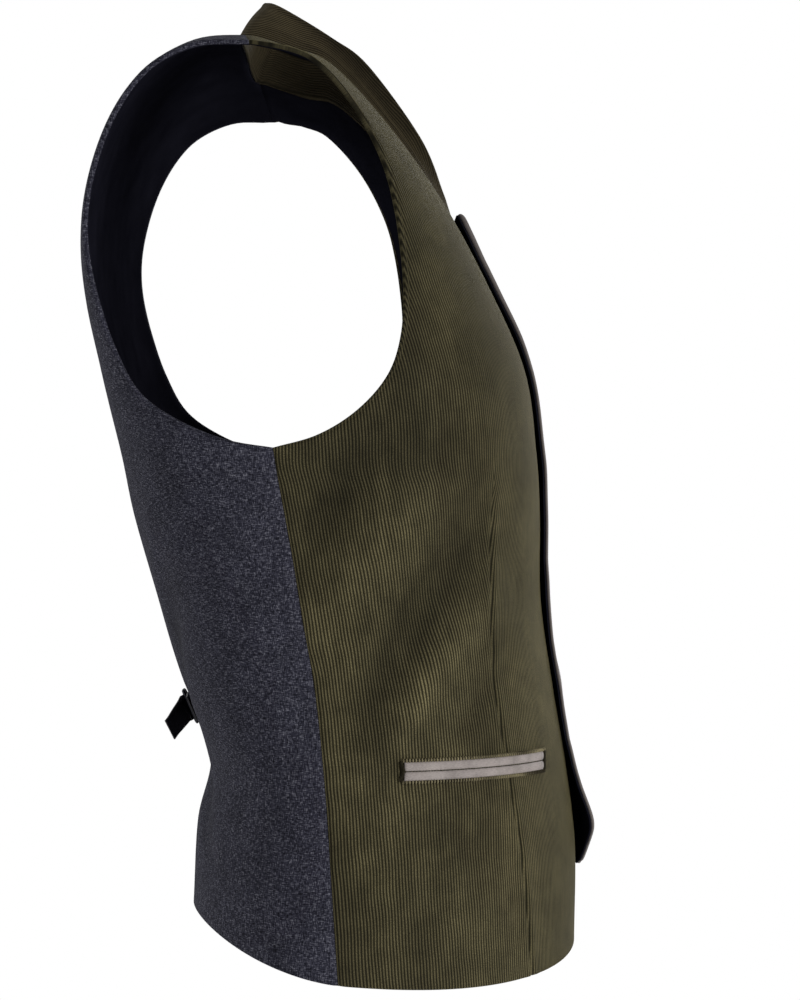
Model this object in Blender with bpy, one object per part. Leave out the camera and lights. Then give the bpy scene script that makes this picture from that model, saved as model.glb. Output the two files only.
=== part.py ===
"""Corduroy vest, as worn: hollow, open at the neck, the armholes and the hem.

Metres, +Z up, the front towards -Y and the wearer's right side towards -X.
The origin lies midway between the neck ends of the two shoulder seams.
"""

import bmesh
import bpy
import numpy as np

# ---- sizes that drive the garment ------------------------------------------------------------

SHELL = 0.0016          # thickness of the corduroy and of the wool
LINING = 0.0010         # thickness of the satin lining
GAP = 0.0003            # between two cloths that touch, and between two pieces at a seam
LINING_GAP = 0.0009     # between a panel and its lining
HEM_TURN = 0.012        # how far the lining stops short of the hem
EDGE_TURN = 0.0025      # how far it stops short of the armhole and the neckline

NECK_HALF = 0.078       # from the middle of the neck to the neck end of a shoulder seam
SHOULDER_HALF = 0.1512  # from the middle to the armhole end of a shoulder seam

BODY_ROWS = 12          # rows of faces from the hem to the underarm
YOKE_ROWS = 12          # rows of faces from the underarm to the shoulder seam
SIDE_COLUMNS = 7        # columns of faces between the side seam and the dart
DART_COLUMNS = 6        # columns of faces between the dart and the centre front
BACK_COLUMNS = 10       # columns of faces from the side seam to the centre back
BREAST_ROWS = 4         # of the yoke's rows, those under the neck seam at the centre front
SHOULDER_COLUMNS = 5    # of the back's columns, those under the shoulder seam

# The form that the cloth lies on, ring by ring from the hem to the shoulder line. Heights are those
# of the ring at the centre front, the side and the centre back; half is its half-width; the three
# depths are its Y there; the two exponents say how square the ring is in front and behind (2 is an
# ellipse); tilt is how steeply the ring climbs backwards past the side seam. The rings over the
# underarm are cut away by the armholes and the neck.
RINGS = np.array([
    # front_z, side_z,  back_z,  half,   side_y,  front_y, back_y, square_f, square_b, tilt
    [-0.5275, -0.5300, -0.5060, 0.1640, -0.0540, -0.1925, 0.0360, 2.1, 2.1, 0.012],
    [-0.4720, -0.4740, -0.4570, 0.1590, -0.0500, -0.1930, 0.0335, 2.1, 2.1, 0.006],
    [-0.4240, -0.4250, -0.4180, 0.1515, -0.0465, -0.1876, 0.0265, 2.2, 2.2, 0.000],
    [-0.3760, -0.3760, -0.3730, 0.1510, -0.0415, -0.1795, 0.0428, 2.3, 2.3, 0.000],
    [-0.3250, -0.3250, -0.3240, 0.1575, -0.0335, -0.1722, 0.0560, 2.4, 2.5, 0.000],
    [-0.2750, -0.2750, -0.2750, 0.1660, -0.0250, -0.1714, 0.0690, 2.6, 2.8, 0.000],
    [-0.2380, -0.2380, -0.2380, 0.1715, -0.0190, -0.1690, 0.0755, 2.8, 3.2, 0.000],
    [-0.1900, -0.1940, -0.1900, 0.1730, -0.0140, -0.1622, 0.0835, 2.8, 4.8, 0.000],
    [-0.1400, -0.1500, -0.1400, 0.1735, -0.0110, -0.1405, 0.0915, 3.0, 6.2, 0.000],
    [-0.0900, -0.1070, -0.0900, 0.1740, -0.0100, -0.1130, 0.0895, 3.5, 8.0, 0.000],
    [-0.0450, -0.0670, -0.0450, 0.1750, -0.0110, -0.0805, 0.0770, 4.6, 8.0, 0.000],
    [-0.0120, -0.0360, -0.0175, 0.1765, -0.0125, -0.0500, 0.0570, 6.0, 7.0, 0.000],
    [-0.0050, -0.0235, +0.0030, 0.1775, -0.0135, -0.0300, 0.0300, 5.0, 6.0, 0.000],
    [+0.0068, -0.0224, +0.0068, 0.1780, -0.0140, +0.0030, +0.0030, 2.0, 2.0, 0.000],
])
FRONT_Z, SIDE_Z, BACK_Z, HALF, SIDE_Y, FRONT_Y, BACK_Y, SQUARE_F, SQUARE_B, TILT = range(10)
TOP_RING = len(RINGS) - 1
UNDERARM_RING = 6
FLAT_AT_TOP = [FRONT_Z, SIDE_Z, BACK_Z, HALF, SQUARE_F, SQUARE_B]  # the cloth lies level over the shoulder

# Armhole edge in front and behind, from the underarm to the shoulder tip
ARMHOLE_FRONT = np.array([
    # x,      y,       z
    (-0.1715, -0.0190, -0.2380),
    (-0.1708, -0.0430, -0.2310),
    (-0.1688, -0.0640, -0.2180),
    (-0.1660, -0.0810, -0.1990),
    (-0.1625, -0.0890, -0.1760),
    (-0.1593, -0.0905, -0.1500),
    (-0.1566, -0.0885, -0.1280),
    (-0.1545, -0.0850, -0.1040),
    (-0.1528, -0.0785, -0.0785),
    (-0.1517, -0.0625, -0.0475),
    (-0.1513, -0.0390, -0.0252),
    (-0.1514, -0.0280, -0.0198),
    (-0.1514, -0.0180, -0.0167),
])
ARMHOLE_BACK = np.array([
    # x,      y,       z
    (-0.1715, -0.0190, -0.2380),
    (-0.1710, +0.0060, -0.2337),
    (-0.1667, +0.0330, -0.2229),
    (-0.1610, +0.0560, -0.2080),
    (-0.1574, +0.0700, -0.1840),
    (-0.1550, +0.0780, -0.1560),
    (-0.1534, +0.0860, -0.1300),
    (-0.1524, +0.0870, -0.1100),
    (-0.1518, +0.0815, -0.0860),
    (-0.1514, +0.0730, -0.0605),
    (-0.1512, +0.0590, -0.0380),
    (-0.1512, +0.0460, -0.0260),
    (-0.1514, +0.0235, -0.0150),
    (-0.1515, +0.0105, -0.0143),
    (-0.1514, -0.0010, -0.0143),
])
# Seam of the collar in the front view, from the centre front to the shoulder seam: (x, z)
NECK_SEAM_FRONT = np.array([
    (-0.0000, -0.1375), (-0.0200, -0.1280), (-0.0360, -0.1128), (-0.0445, -0.0945), (-0.0500, -0.0745),
    (-0.0560, -0.0518), (-0.0620, -0.0310), (-0.0670, -0.0165),
])
# Seam of the collar behind, from the shoulder seam to the centre back, in the top view: (x, y)
NECK_SEAM_BACK = np.array([(-0.0740, 0.0040), (-0.0600, 0.0058), (-0.0310, 0.0063), (-0.0000, 0.0064)])
# The dart, as the share of a quarter turn between side seam and centre front: (ring, share)
DART = np.array([(0.0, 0.56), (2.0, 0.50), (3.0, 0.49), (5.0, 0.52), (6.0, 0.52)])
DART_TOP_RING = 5.3     # the dart ends just under the bust
DART_TAPER = 0.6        # over this many rings it fades out
DART_DEPTH = 0.0007     # how far the cloth is pulled in along it

# The largest drape folds, in the side view of each side: from and to (y, z), half-width and depth;
# a negative depth is a ridge.
FOLDS_RIGHT = np.array([
    # from_y,  from_z,  to_y,   to_z,    width, depth
    [-0.1330, -0.2710, -0.0660, -0.3920, 0.016, +0.0040],
    [-0.0690, -0.2440, -0.0370, -0.2920, 0.014, +0.0026],
    [-0.0960, -0.2620, -0.0460, -0.3300, 0.015, -0.0024],
    [-0.1360, -0.3150, -0.0830, -0.3950, 0.013, -0.0026],
])
FOLDS_LEFT = np.array([
    [-0.1250, -0.2620, -0.0720, -0.3800, 0.017, +0.0036],
    [-0.0630, -0.2520, -0.0420, -0.3020, 0.013, +0.0022],
    [-0.0900, -0.2700, -0.0520, -0.3420, 0.016, -0.0022],
    [-0.1400, -0.3300, -0.0930, -0.3980, 0.012, -0.0022],
])
# The same behind, in the back view: from and to (x, z)
FOLDS_BACK = np.array([
    # from_x,  from_z,  to_x,   to_z,    width, depth
    [-0.1150, -0.3120, -0.0300, -0.3860, 0.015, +0.0030],
    [+0.1200, -0.2980, +0.0420, -0.3800, 0.014, +0.0034],
    [-0.0900, -0.4700, -0.0260, -0.4180, 0.014, +0.0024],
    [+0.0820, -0.4780, +0.0300, -0.4200, 0.013, +0.0022],
])

# Collar band: its free rim, by its share of the way from the centre back to the centre front
COLLAR_RIM = np.array([
    # station, x,       y,       z,       bow: how far the band is hollow between seam and rim
    [0.00, +0.0000, -0.0070, +0.0330, -0.0022],
    [0.16, -0.0300, -0.0085, +0.0285, -0.0020],
    [0.32, -0.0530, -0.0185, +0.0215, -0.0010],
    [0.44, -0.0575, -0.0480, +0.0030, +0.0010],
    [0.54, -0.0530, -0.0690, -0.0125, +0.0030],
    [0.66, -0.0380, -0.0998, -0.0530, +0.0030],
    [0.78, -0.0170, -0.1130, -0.0820, +0.0030],
    [0.90, -0.0060, -0.1160, -0.0895, +0.0022],
    [1.00, +0.0000, -0.1165, -0.0913, +0.0000],
])
COLLAR_THICKNESS = 0.0026
COLLAR_CLEAR = 0.0009   # over the neck seam
COLLAR_ROWS = 4

# Front flap: sewn down on the wearer's left front, free along the edge on the wearer's right
FLAP_SEWN_X = 0.060
FLAP_POINT_X = +0.015
FLAP_FREE_X = -0.030
FLAP_THICKNESS = 0.0014
FLAP_CLEAR = 0.0008     # under its lining, along the sewn edge
FLAP_LEAST_LIFT = 0.0013 # under it at the free edge
FLAP_FREE_EDGE = np.array([
    # z,      y of the free edge
    [-0.4948, -0.2029], [-0.4609, -0.2038], [-0.4323, -0.1945], [-0.4086, -0.1883], [-0.3612, -0.1803],
    [-0.3255, -0.1767], [-0.2899, -0.1747], [-0.2425, -0.1715], [-0.1950, -0.1641], [-0.1713, -0.1576],
    [-0.1475, -0.1472], [-0.1297, -0.1395], [-0.1119, -0.1313], [-0.0957, -0.1234],
])
FLAP_OUTLINE = np.array([
    # x,     lower edge, upper edge
    [-0.030, -0.4610, -0.1028],
    [-0.024, -0.4656, -0.0967],
    [+0.015, -0.4918, -0.0979],
    [+0.060, -0.4640, -0.1010],
])
FLAP_BULGE_TOP = 1.3    # power of the lift from the sewn to the free edge, at the top of the flap
FLAP_BULGE_BODY = 2.6   # the same from FLAP_BULGE_Z downwards
FLAP_BULGE_Z = -0.2000
FLAP_ROWS = 18
FLAP_HALF_COLUMNS = 4

# Jetted pockets, level, across the dart
POCKET_SIDE_Y = -0.0899
POCKET_FRONT_Y = -0.1686
POCKET_TOP = -0.4105
LIP_HEIGHT = 0.0048
LIP_THICKNESS = 0.0012
LIP_CLEAR = 0.0006
LIP_COLUMNS = 10

# Back strap: the long half passes under one bar of the slider and over the other, and its end
# hangs loose; the short half ends under the second bar.
STRAP_WIDTH = 0.016
STRAP_THICKNESS = 0.0010
STRAP_Z = -0.3895
STRAP_LEFT = np.array([
    # x,      lift off the cloth, drop
    [+0.0850, 0.0006, 0.0000],
    [+0.0650, 0.0006, 0.0000],
    [+0.0450, 0.0006, 0.0000],
    [+0.0260, 0.0006, 0.0000],
    [+0.0085, 0.0005, 0.0000],
    [+0.0048, 0.0005, 0.0000],
    [-0.0048, 0.0045, 0.0000],
    [-0.0085, 0.0052, 0.0000],
    [-0.0125, 0.0080, 0.0015],
    [-0.0170, 0.0130, 0.0040],
    [-0.0210, 0.0185, 0.0070],
])
STRAP_RIGHT = np.array([
    # x,      lift,   drop
    [-0.0420, 0.0008, 0.0000],
    [-0.0330, 0.0008, 0.0000],
    [-0.0250, 0.0007, 0.0000],
    [-0.0085, 0.0005, 0.0000],
    [-0.0025, 0.0005, 0.0000],
])
SLIDER_LIFT = 0.0018
SLIDER_THICKNESS = 0.0020
SLIDER_BAR = 0.0030
SLIDER_OPENING = 0.0092     # between the bars

OLIVE = ("olive corduroy", (0.055, 0.046, 0.024), 0.85, 0.0)
WOOL = ("blue-grey melange wool", (0.026, 0.026, 0.036), 0.80, 0.0)
NAVY = ("navy satin lining", (0.008, 0.008, 0.014), 0.40, 0.0)
TAUPE = ("taupe satin cloth", (0.200, 0.175, 0.165), 0.50, 0.0)
BLACK = ("black satin", (0.004, 0.004, 0.005), 0.35, 0.0)
METAL = ("dark metal", (0.050, 0.050, 0.055), 0.35, 1.0)


# ---- the form under the cloth ------------------------------------------------------------------

def smooth(rows, at, flat_at_end=()):
    """The table's columns at a row number that need not be whole, by cubic steps through its rows."""
    last = len(rows) - 1
    at = np.clip(at, 0, last)
    slope = np.gradient(rows, axis=0)
    slope[last, list(flat_at_end)] = 0.0
    low = np.minimum(at.astype(int), last - 1)
    t = (at - low)[..., None]
    return (rows[low] * (1 + 2 * t) * (1 - t) ** 2 + slope[low] * t * (1 - t) ** 2
            + rows[low + 1] * t ** 2 * (3 - 2 * t) + slope[low + 1] * t ** 2 * (t - 1))


def form(turn, ring, behind):
    """Point of the wearer's right half: turn runs from 0 at the side to 1 at the centre."""
    turn, ring = np.broadcast_arrays(turn, ring)
    v = smooth(RINGS, ring, FLAT_AT_TOP)
    reach, height, power = (BACK_Y, BACK_Z, SQUARE_B) if behind else (FRONT_Y, FRONT_Z, SQUARE_F)
    power = v[..., power]
    across, along = np.abs(np.cos(turn * np.pi / 2)), np.abs(np.sin(turn * np.pi / 2))
    scale = (across ** power + along ** power) ** (-1 / power)
    across, along = across * scale, along * scale
    climb = v[..., TILT] * across * along * (1 if behind else -1)
    return np.stack([-v[..., HALF] * across,
                     v[..., SIDE_Y] + (v[..., reach] - v[..., SIDE_Y]) * along,
                     v[..., height] + (v[..., SIDE_Z] - v[..., height]) * across ** 2 + climb], axis=-1)


def outward(turn, ring, behind):
    """Unit normal of the form, from the cloth outwards."""
    small = 1e-3
    turn, ring = np.clip(turn, small, 1 - small), np.clip(ring, small, TOP_RING - small)
    across = form(turn + small, ring, behind) - form(turn - small, ring, behind)
    upward = form(turn, ring + small, behind) - form(turn, ring - small, behind)
    normal = np.cross(across, upward) * (-1 if behind else 1)
    return normal / np.linalg.norm(normal, axis=-1, keepdims=True)


def place_of(points, axes, behind, lowest=0):
    """Turn and ring of the place nearest to each point, by the given axes, found by a narrowing search."""
    found = []
    for point in points:
        centre, reach = np.array([0.5, (TOP_RING + lowest) / 2]), np.array([0.5, (TOP_RING - lowest) / 2])
        for _ in range(6):
            turn = np.clip(centre[0] + np.linspace(-1, 1, 61) * reach[0], 0, 1)
            ring = np.clip(centre[1] + np.linspace(-1, 1, 61) * reach[1], lowest, TOP_RING)
            turn, ring = np.meshgrid(turn, ring)
            miss = np.linalg.norm(form(turn, ring, behind)[..., axes] - point, axis=-1)
            centre = np.array([turn.flat[miss.argmin()], ring.flat[miss.argmin()]])
            reach = reach / 8
        found.append(centre)
    return np.array(found)


def even(path, steps, behind):
    """A path given by its corners in turn and ring, rounded and cut into steps of equal real length."""
    fine = smooth(path, np.linspace(0, len(path) - 1, 600))
    step = np.linalg.norm(np.diff(form(fine[:, 0], fine[:, 1], behind), axis=0), axis=1)
    length = np.concatenate([[0], np.cumsum(step)])
    at = np.interp(np.linspace(0, length[-1], steps + 1), length, np.arange(600))
    return np.stack([np.interp(at, np.arange(600), fine[:, i]) for i in (0, 1)], axis=1)


def end_to_end(*paths):
    """Paths joined where one starts at the end of the last."""
    return np.concatenate([paths[0]] + [path[1:] for path in paths[1:]])


def shoulder_turn(x):
    """Turn of a place on the shoulder line at this distance from the middle."""
    return np.arccos(x / RINGS[TOP_RING, HALF]) / (np.pi / 2)


SHOULDER_TIP = [shoulder_turn(SHOULDER_HALF), TOP_RING]
SHOULDER_NECK = [shoulder_turn(NECK_HALF), TOP_RING]


def outer_edge(behind):
    """Side seam and armhole of a panel, from the hem to the shoulder tip, in turn and ring."""
    side = even(np.array([[0.0, 0.0], [0.0, UNDERARM_RING]]), BODY_ROWS, behind)
    points = ARMHOLE_BACK if behind else ARMHOLE_FRONT
    armhole = place_of(points[1:], [0, 1, 2], behind)
    armhole = np.concatenate([[[0.0, UNDERARM_RING]], armhole, [SHOULDER_TIP]])
    return end_to_end(side, even(armhole, YOKE_ROWS, behind))


def front_edge():
    """Centre front and neck seam of a front, from the hem to the shoulder seam, in turn and ring."""
    seam = place_of(NECK_SEAM_FRONT, [0, 2], False)
    seam[0, 0] = 1.0
    body = even(np.array([[1.0, 0.0], [1.0, UNDERARM_RING]]), BODY_ROWS, False)
    breast = even(np.array([[1.0, UNDERARM_RING], seam[0]]), BREAST_ROWS, False)
    neck = even(np.concatenate([seam, [SHOULDER_NECK]]), YOKE_ROWS - BREAST_ROWS, False)
    return end_to_end(body, breast, neck)


def between(first, last, columns, start=0):
    """Grid of places ruled from one edge to the other, as rows of columns."""
    share = np.linspace(0, 1, columns + 1)[start:, None]
    return first[:, None] * (1 - share) + last[:, None] * share


def front_places():
    """Turn and ring of every corner of a front: one column lies on the dart."""
    outer, inner = outer_edge(False), front_edge()
    ring = 0.5 * (outer[:, 1] + inner[:, 1])
    share = np.interp(ring, DART[:, 0], DART[:, 1])
    dart = np.stack([outer[:, 0] + share * (inner[:, 0] - outer[:, 0]), ring], axis=1)
    return np.concatenate([between(outer, dart, SIDE_COLUMNS),
                           between(dart, inner, DART_COLUMNS, start=1)], axis=1)


def back_places():
    """Turn and ring of every corner of the back's right half, from the side to the centre back."""
    outer = outer_edge(True)
    seam = place_of(NECK_SEAM_BACK, [0, 1], True, lowest=TOP_RING - 2)
    seam[-1, 0] = 1.0
    shoulder = even(np.array([SHOULDER_TIP, SHOULDER_NECK]), SHOULDER_COLUMNS, True)
    neck = even(np.concatenate([[SHOULDER_NECK], seam]), BACK_COLUMNS - SHOULDER_COLUMNS, True)
    top = end_to_end(shoulder, neck)
    inner = even(np.array([[1.0, 0.0], seam[-1]]), BODY_ROWS + YOKE_ROWS, True)
    low = even(np.array([[0.0, 0.0], [1.0, 0.0]]), BACK_COLUMNS, True)
    s = np.linspace(0, 1, BACK_COLUMNS + 1)[None, :, None]
    t = np.linspace(0, 1, BODY_ROWS + YOKE_ROWS + 1)[:, None, None]
    corners = ((1 - s) * (1 - t) * low[0] + s * (1 - t) * low[-1] + (1 - s) * t * top[0] + s * t * top[-1])
    return ((1 - s) * outer[:, None] + s * inner[:, None] + (1 - t) * low[None] + t * top[None] - corners)


def pressed(points, normals, folds, axes):
    """The points with the drape folds pressed in: each is a soft trough along a line, fading at its ends."""
    depth = np.zeros(points.shape[:-1])
    for start_a, start_z, end_a, end_z, width, deep in folds:
        start, along = np.array([start_a, start_z]), np.array([end_a - start_a, end_z - start_z])
        away = points[..., axes] - start
        share = np.clip((away @ along) / (along @ along), 0, 1)
        off = np.linalg.norm(away - share[..., None] * along, axis=-1)
        depth += deep * np.exp(-(off / width) ** 2) * np.sin(np.pi * (0.12 + 0.76 * share))
    return points - normals * depth[..., None]


def cloth(places, behind, side, out=0.0):
    """Points and normals of the cloth's outer face at these places, on the wearer's right or left."""
    turn, ring = places[..., 0], places[..., 1]
    points, normals = form(turn, ring, behind), outward(turn, ring, behind)
    if side == "left":
        points, normals = points * [-1, 1, 1], normals * [-1, 1, 1]
    folds = FOLDS_BACK if behind else FOLDS_RIGHT if side == "right" else FOLDS_LEFT
    points = pressed(points, normals, folds, [0, 2] if behind else [1, 2])
    return points + normals * out, normals


# ---- walls made from the cloth's points ------------------------------------------------------------

def drawn_in(grid, low, high, first, last):
    """The grid with each edge moved towards its neighbours: rows low and high, columns first and last."""
    grid = grid.copy()
    for axis, ends in ((0, (low, high)), (1, (first, last))):
        lines = np.moveaxis(grid, axis, 0)
        for edge, inside, amount in ((0, 1, ends[0]), (-1, -2, ends[1])):
            step = lines[inside] - lines[edge]
            lines[edge] += step / np.linalg.norm(step, axis=-1, keepdims=True) * np.reshape(amount, (-1, 1))
    return grid


def material(finish):
    name, colour, roughness, metallic = finish
    if name in bpy.data.materials:
        return bpy.data.materials[name]
    made = bpy.data.materials.new(name)
    made.use_nodes = True
    shader = made.node_tree.nodes["Principled BSDF"]
    shader.inputs["Base Color"].default_value = (*colour, 1.0)
    shader.inputs["Roughness"].default_value = roughness
    shader.inputs["Metallic"].default_value = metallic
    return made


def solid(name, points, faces, finish):
    """One closed object with its faces turned outwards."""
    mesh = bpy.data.meshes.new(name)
    mesh.from_pydata(points.reshape(-1, 3).tolist(), [], faces)
    work = bmesh.new()
    work.from_mesh(mesh)
    bmesh.ops.recalc_face_normals(work, faces=work.faces)
    work.to_mesh(mesh)
    work.free()
    mesh.shade_smooth()
    mesh.set_sharp_from_angle(angle=np.radians(50))
    mesh.materials.append(material(finish))
    made = bpy.data.objects.new(name, mesh)
    bpy.context.scene.collection.objects.link(made)
    return made


def short_way(grid):
    """For each face of four corners, whether its first corner is nearer to the third than its second to the fourth."""
    first = np.linalg.norm(grid[1:, 1:] - grid[:-1, :-1], axis=-1)
    second = np.linalg.norm(grid[1:, :-1] - grid[:-1, 1:], axis=-1)
    return first < second


def wall(name, outer, inner, finish, split=None):
    """Closed wall between two grids of points, each face cut in two along the same diagonal in both."""
    rows, columns = outer.shape[:2]
    split = short_way(outer) if split is None else split
    number = np.arange(rows * columns).reshape(rows, columns)
    under = number + rows * columns
    faces = []
    for i in range(rows - 1):
        for j in range(columns - 1):
            a, b, c, d = number[i, j], number[i, j + 1], number[i + 1, j + 1], number[i + 1, j]
            for face in ((a, b, c), (a, c, d)) if split[i, j] else ((b, c, d), (b, d, a)):
                faces += [face, tuple(k + under[0, 0] for k in face[::-1])]
    rim = np.concatenate([number[0, :-1], number[:-1, -1], number[-1, :0:-1], number[:0:-1, 0]])
    for a, b in zip(rim, np.roll(rim, -1)):
        faces.append((b, a, a + under[0, 0], b + under[0, 0]))
    return solid(name, np.concatenate([outer.reshape(-1, 3), inner.reshape(-1, 3)]),
                 [tuple(int(k) for k in face) for face in faces], finish)


def seam_then(seam, edge):
    """Amounts down an outer edge: one along the side seam, another along the armhole."""
    return np.array([seam] * (BODY_ROWS + 1) + [edge] * YOKE_ROWS)


# ---- the fronts and the back ------------------------------------------------------------------------

def front(side):
    places = front_places()
    points, normals = cloth(places, False, side)
    points = drawn_in(points, 0, GAP / 2, seam_then(GAP / 2, 0), GAP / 2)
    taper = np.clip((DART_TOP_RING - places[:, SIDE_COLUMNS, 1]) / DART_TAPER, 0, 1)
    face = points.copy()
    face[:, SIDE_COLUMNS] -= normals[:, SIDE_COLUMNS] * (DART_DEPTH * taper)[:, None]
    split = short_way(points)
    wall(f"front_{side}", face, points - normals * SHELL, OLIVE, split)
    inside = drawn_in(points, HEM_TURN, 0, seam_then(0, EDGE_TURN), EDGE_TURN)
    inside = inside - normals * (SHELL + LINING_GAP)
    wall(f"lining_front_{side}", inside, inside - normals * LINING, NAVY, split)


def back():
    right, normals = cloth(back_places(), True, "right")
    left, left_normals = cloth(back_places(), True, "left")
    points = np.concatenate([right, left[:, -2::-1]], axis=1)
    normals = np.concatenate([normals, left_normals[:, -2::-1]], axis=1)
    edge = seam_then(GAP / 2, 0)
    points = drawn_in(points, 0, GAP / 2, edge, edge)
    split = short_way(points)
    wall("back", points, points - normals * SHELL, WOOL, split)
    top = np.full(points.shape[1], EDGE_TURN)
    top[:SHOULDER_COLUMNS + 1] = top[-SHOULDER_COLUMNS - 1:] = 0
    edge = seam_then(0, EDGE_TURN)
    inside = drawn_in(points, HEM_TURN, top, edge, edge) - normals * (SHELL + LINING_GAP)
    wall("lining_back", inside, inside - normals * LINING, NAVY, split)


# ---- collar --------------------------------------------------------------------------------------------

def collar():
    """One band from the wearer's right end at the centre front round the neck to the left end."""
    rear = back_places()[-1, SHOULDER_COLUMNS:][::-1]
    fore = front_places()[::-1, -1][:YOKE_ROWS - BREAST_ROWS + 1]
    seam = np.concatenate([form(rear[:, 0], rear[:, 1], True), form(fore[1:, 0], fore[1:, 1], False)])
    length = np.concatenate([[0], np.cumsum(np.linalg.norm(np.diff(seam, axis=0), axis=1))])
    row = np.interp(length / length[-1], COLLAR_RIM[:, 0], np.arange(len(COLLAR_RIM)))
    rim = smooth(COLLAR_RIM[:, 1:4], row)
    bow = smooth(COLLAR_RIM[:, 4:], row)
    share = np.linspace(0, 1, COLLAR_ROWS + 1)[:, None, None]
    half = seam * (1 - share) + rim * share
    half[..., -1, 0] = 0.0
    band = np.concatenate([half[:, :0:-1], half * [-1, 1, 1]], axis=1)
    bow = np.concatenate([bow[:0:-1], bow])
    along, up = np.gradient(band, axis=1), np.gradient(band, axis=0)
    normals = np.cross(up, along)
    normals /= np.linalg.norm(normals, axis=-1, keepdims=True)
    normals[:, (0, -1), 0] = 0
    band = band - normals * np.sin(np.pi * share) * bow
    band = drawn_in(band, COLLAR_CLEAR, 0, GAP / 2, GAP / 2)
    wall("collar", band, band - normals * COLLAR_THICKNESS, OLIVE)


# ---- front flap ----------------------------------------------------------------------------------------

def front_at(x, z):
    """Y of the fronts' outer face at one x and many heights z."""
    v = smooth(RINGS, np.linspace(0, TOP_RING, 400), FLAT_AT_TOP)
    across = abs(x) / v[:, HALF]
    height = v[:, FRONT_Z] + (v[:, SIDE_Z] - v[:, FRONT_Z]) * across ** 2
    along = (1 - across ** v[:, SQUARE_F]) ** (1 / v[:, SQUARE_F])
    return np.interp(z, height, v[:, SIDE_Y] + (v[:, FRONT_Y] - v[:, SIDE_Y]) * along)


def flap_face(x, z):
    """Underside of the flap: it leaves the sewn edge on the cloth and lifts to the free edge's y."""
    outside = LINING + GAP + FLAP_THICKNESS
    edge = smooth(FLAP_FREE_EDGE, np.interp(z, FLAP_FREE_EDGE[:, 0], np.arange(len(FLAP_FREE_EDGE))))[:, 1]
    lift = np.maximum(front_at(FLAP_FREE_X, z) - FLAP_CLEAR - edge - outside, FLAP_LEAST_LIFT)
    share = max(FLAP_SEWN_X - x, 0.0) / (FLAP_SEWN_X - FLAP_FREE_X)
    low = np.clip((FLAP_OUTLINE[0, 2] - z) / (FLAP_OUTLINE[0, 2] - FLAP_BULGE_Z), 0, 1)
    bulge = FLAP_BULGE_TOP + (FLAP_BULGE_BODY - FLAP_BULGE_TOP) * low
    return front_at(x, z) - FLAP_CLEAR - lift * share ** bulge


def flap():
    x = np.concatenate([np.linspace(FLAP_FREE_X, FLAP_POINT_X, FLAP_HALF_COLUMNS + 1),
                        np.linspace(FLAP_POINT_X, FLAP_SEWN_X, FLAP_HALF_COLUMNS + 1)[1:]])
    low = np.interp(x, FLAP_OUTLINE[:, 0], FLAP_OUTLINE[:, 1])
    high = np.interp(x, FLAP_OUTLINE[:, 0], FLAP_OUTLINE[:, 2])
    share = np.linspace(0, 1, FLAP_ROWS + 1)[:, None]
    z = low * (1 - share) + high * share
    small = 1e-4

    def face(dx, dz):
        return np.stack([np.stack([np.full(FLAP_ROWS + 1, x[j] + dx), flap_face(x[j] + dx, z[:, j] + dz),
                                   z[:, j] + dz], axis=-1) for j in range(len(x))], axis=1)

    points = face(0, 0)
    normals = np.cross(face(small, 0) - face(-small, 0), face(0, small) - face(0, -small))
    normals /= np.linalg.norm(normals, axis=-1, keepdims=True)
    wall("front_flap_lining", points + normals * LINING, points, NAVY)
    base = points + normals * (LINING + GAP)
    wall("front_flap", base + normals * FLAP_THICKNESS, base, TAUPE)


# ---- pockets --------------------------------------------------------------------------------------------

def pocket(side):
    """Two lips across the dart, one over the other, lying on the front."""
    y = np.linspace(POCKET_SIDE_Y, POCKET_FRONT_Y, LIP_COLUMNS + 1)
    for number, part in enumerate(("upper", "lower")):
        top = POCKET_TOP - number * (LIP_HEIGHT + 2 * GAP)
        rows = [place_of(np.stack([y, np.full(len(y), z)], axis=1), [1, 2], False)
                for z in (top - LIP_HEIGHT, top)]
        places = np.stack(rows)
        under, normals = cloth(places, False, side, out=LIP_CLEAR)
        wall(f"pocket_{side}_{part}", under + normals * LIP_THICKNESS, under, TAUPE)


# ---- back strap -----------------------------------------------------------------------------------------

def strap(name, path):
    """Flat band whose middle line follows the cloth of the back at the strap's height."""
    x, lift, drop = path.T
    at = place_of(np.stack([-np.abs(x), STRAP_Z - drop], axis=1), [0, 2], True)
    sides = [cloth(at, True, side) for side in ("left", "right")]
    under, normals = (np.where(x[:, None] > 0, *pair) for pair in zip(*sides))
    middle = under + normals * lift[:, None]
    along = np.gradient(middle, axis=0)
    across = np.cross(normals, along)
    across /= np.linalg.norm(across, axis=1, keepdims=True)
    up = np.cross(along, across)
    up /= np.linalg.norm(up, axis=1, keepdims=True)
    up *= np.sign((up * normals).sum(axis=1, keepdims=True))
    under = np.stack([middle - across * STRAP_WIDTH / 2, middle + across * STRAP_WIDTH / 2])
    wall(name, under + up * STRAP_THICKNESS, under, BLACK)


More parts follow.
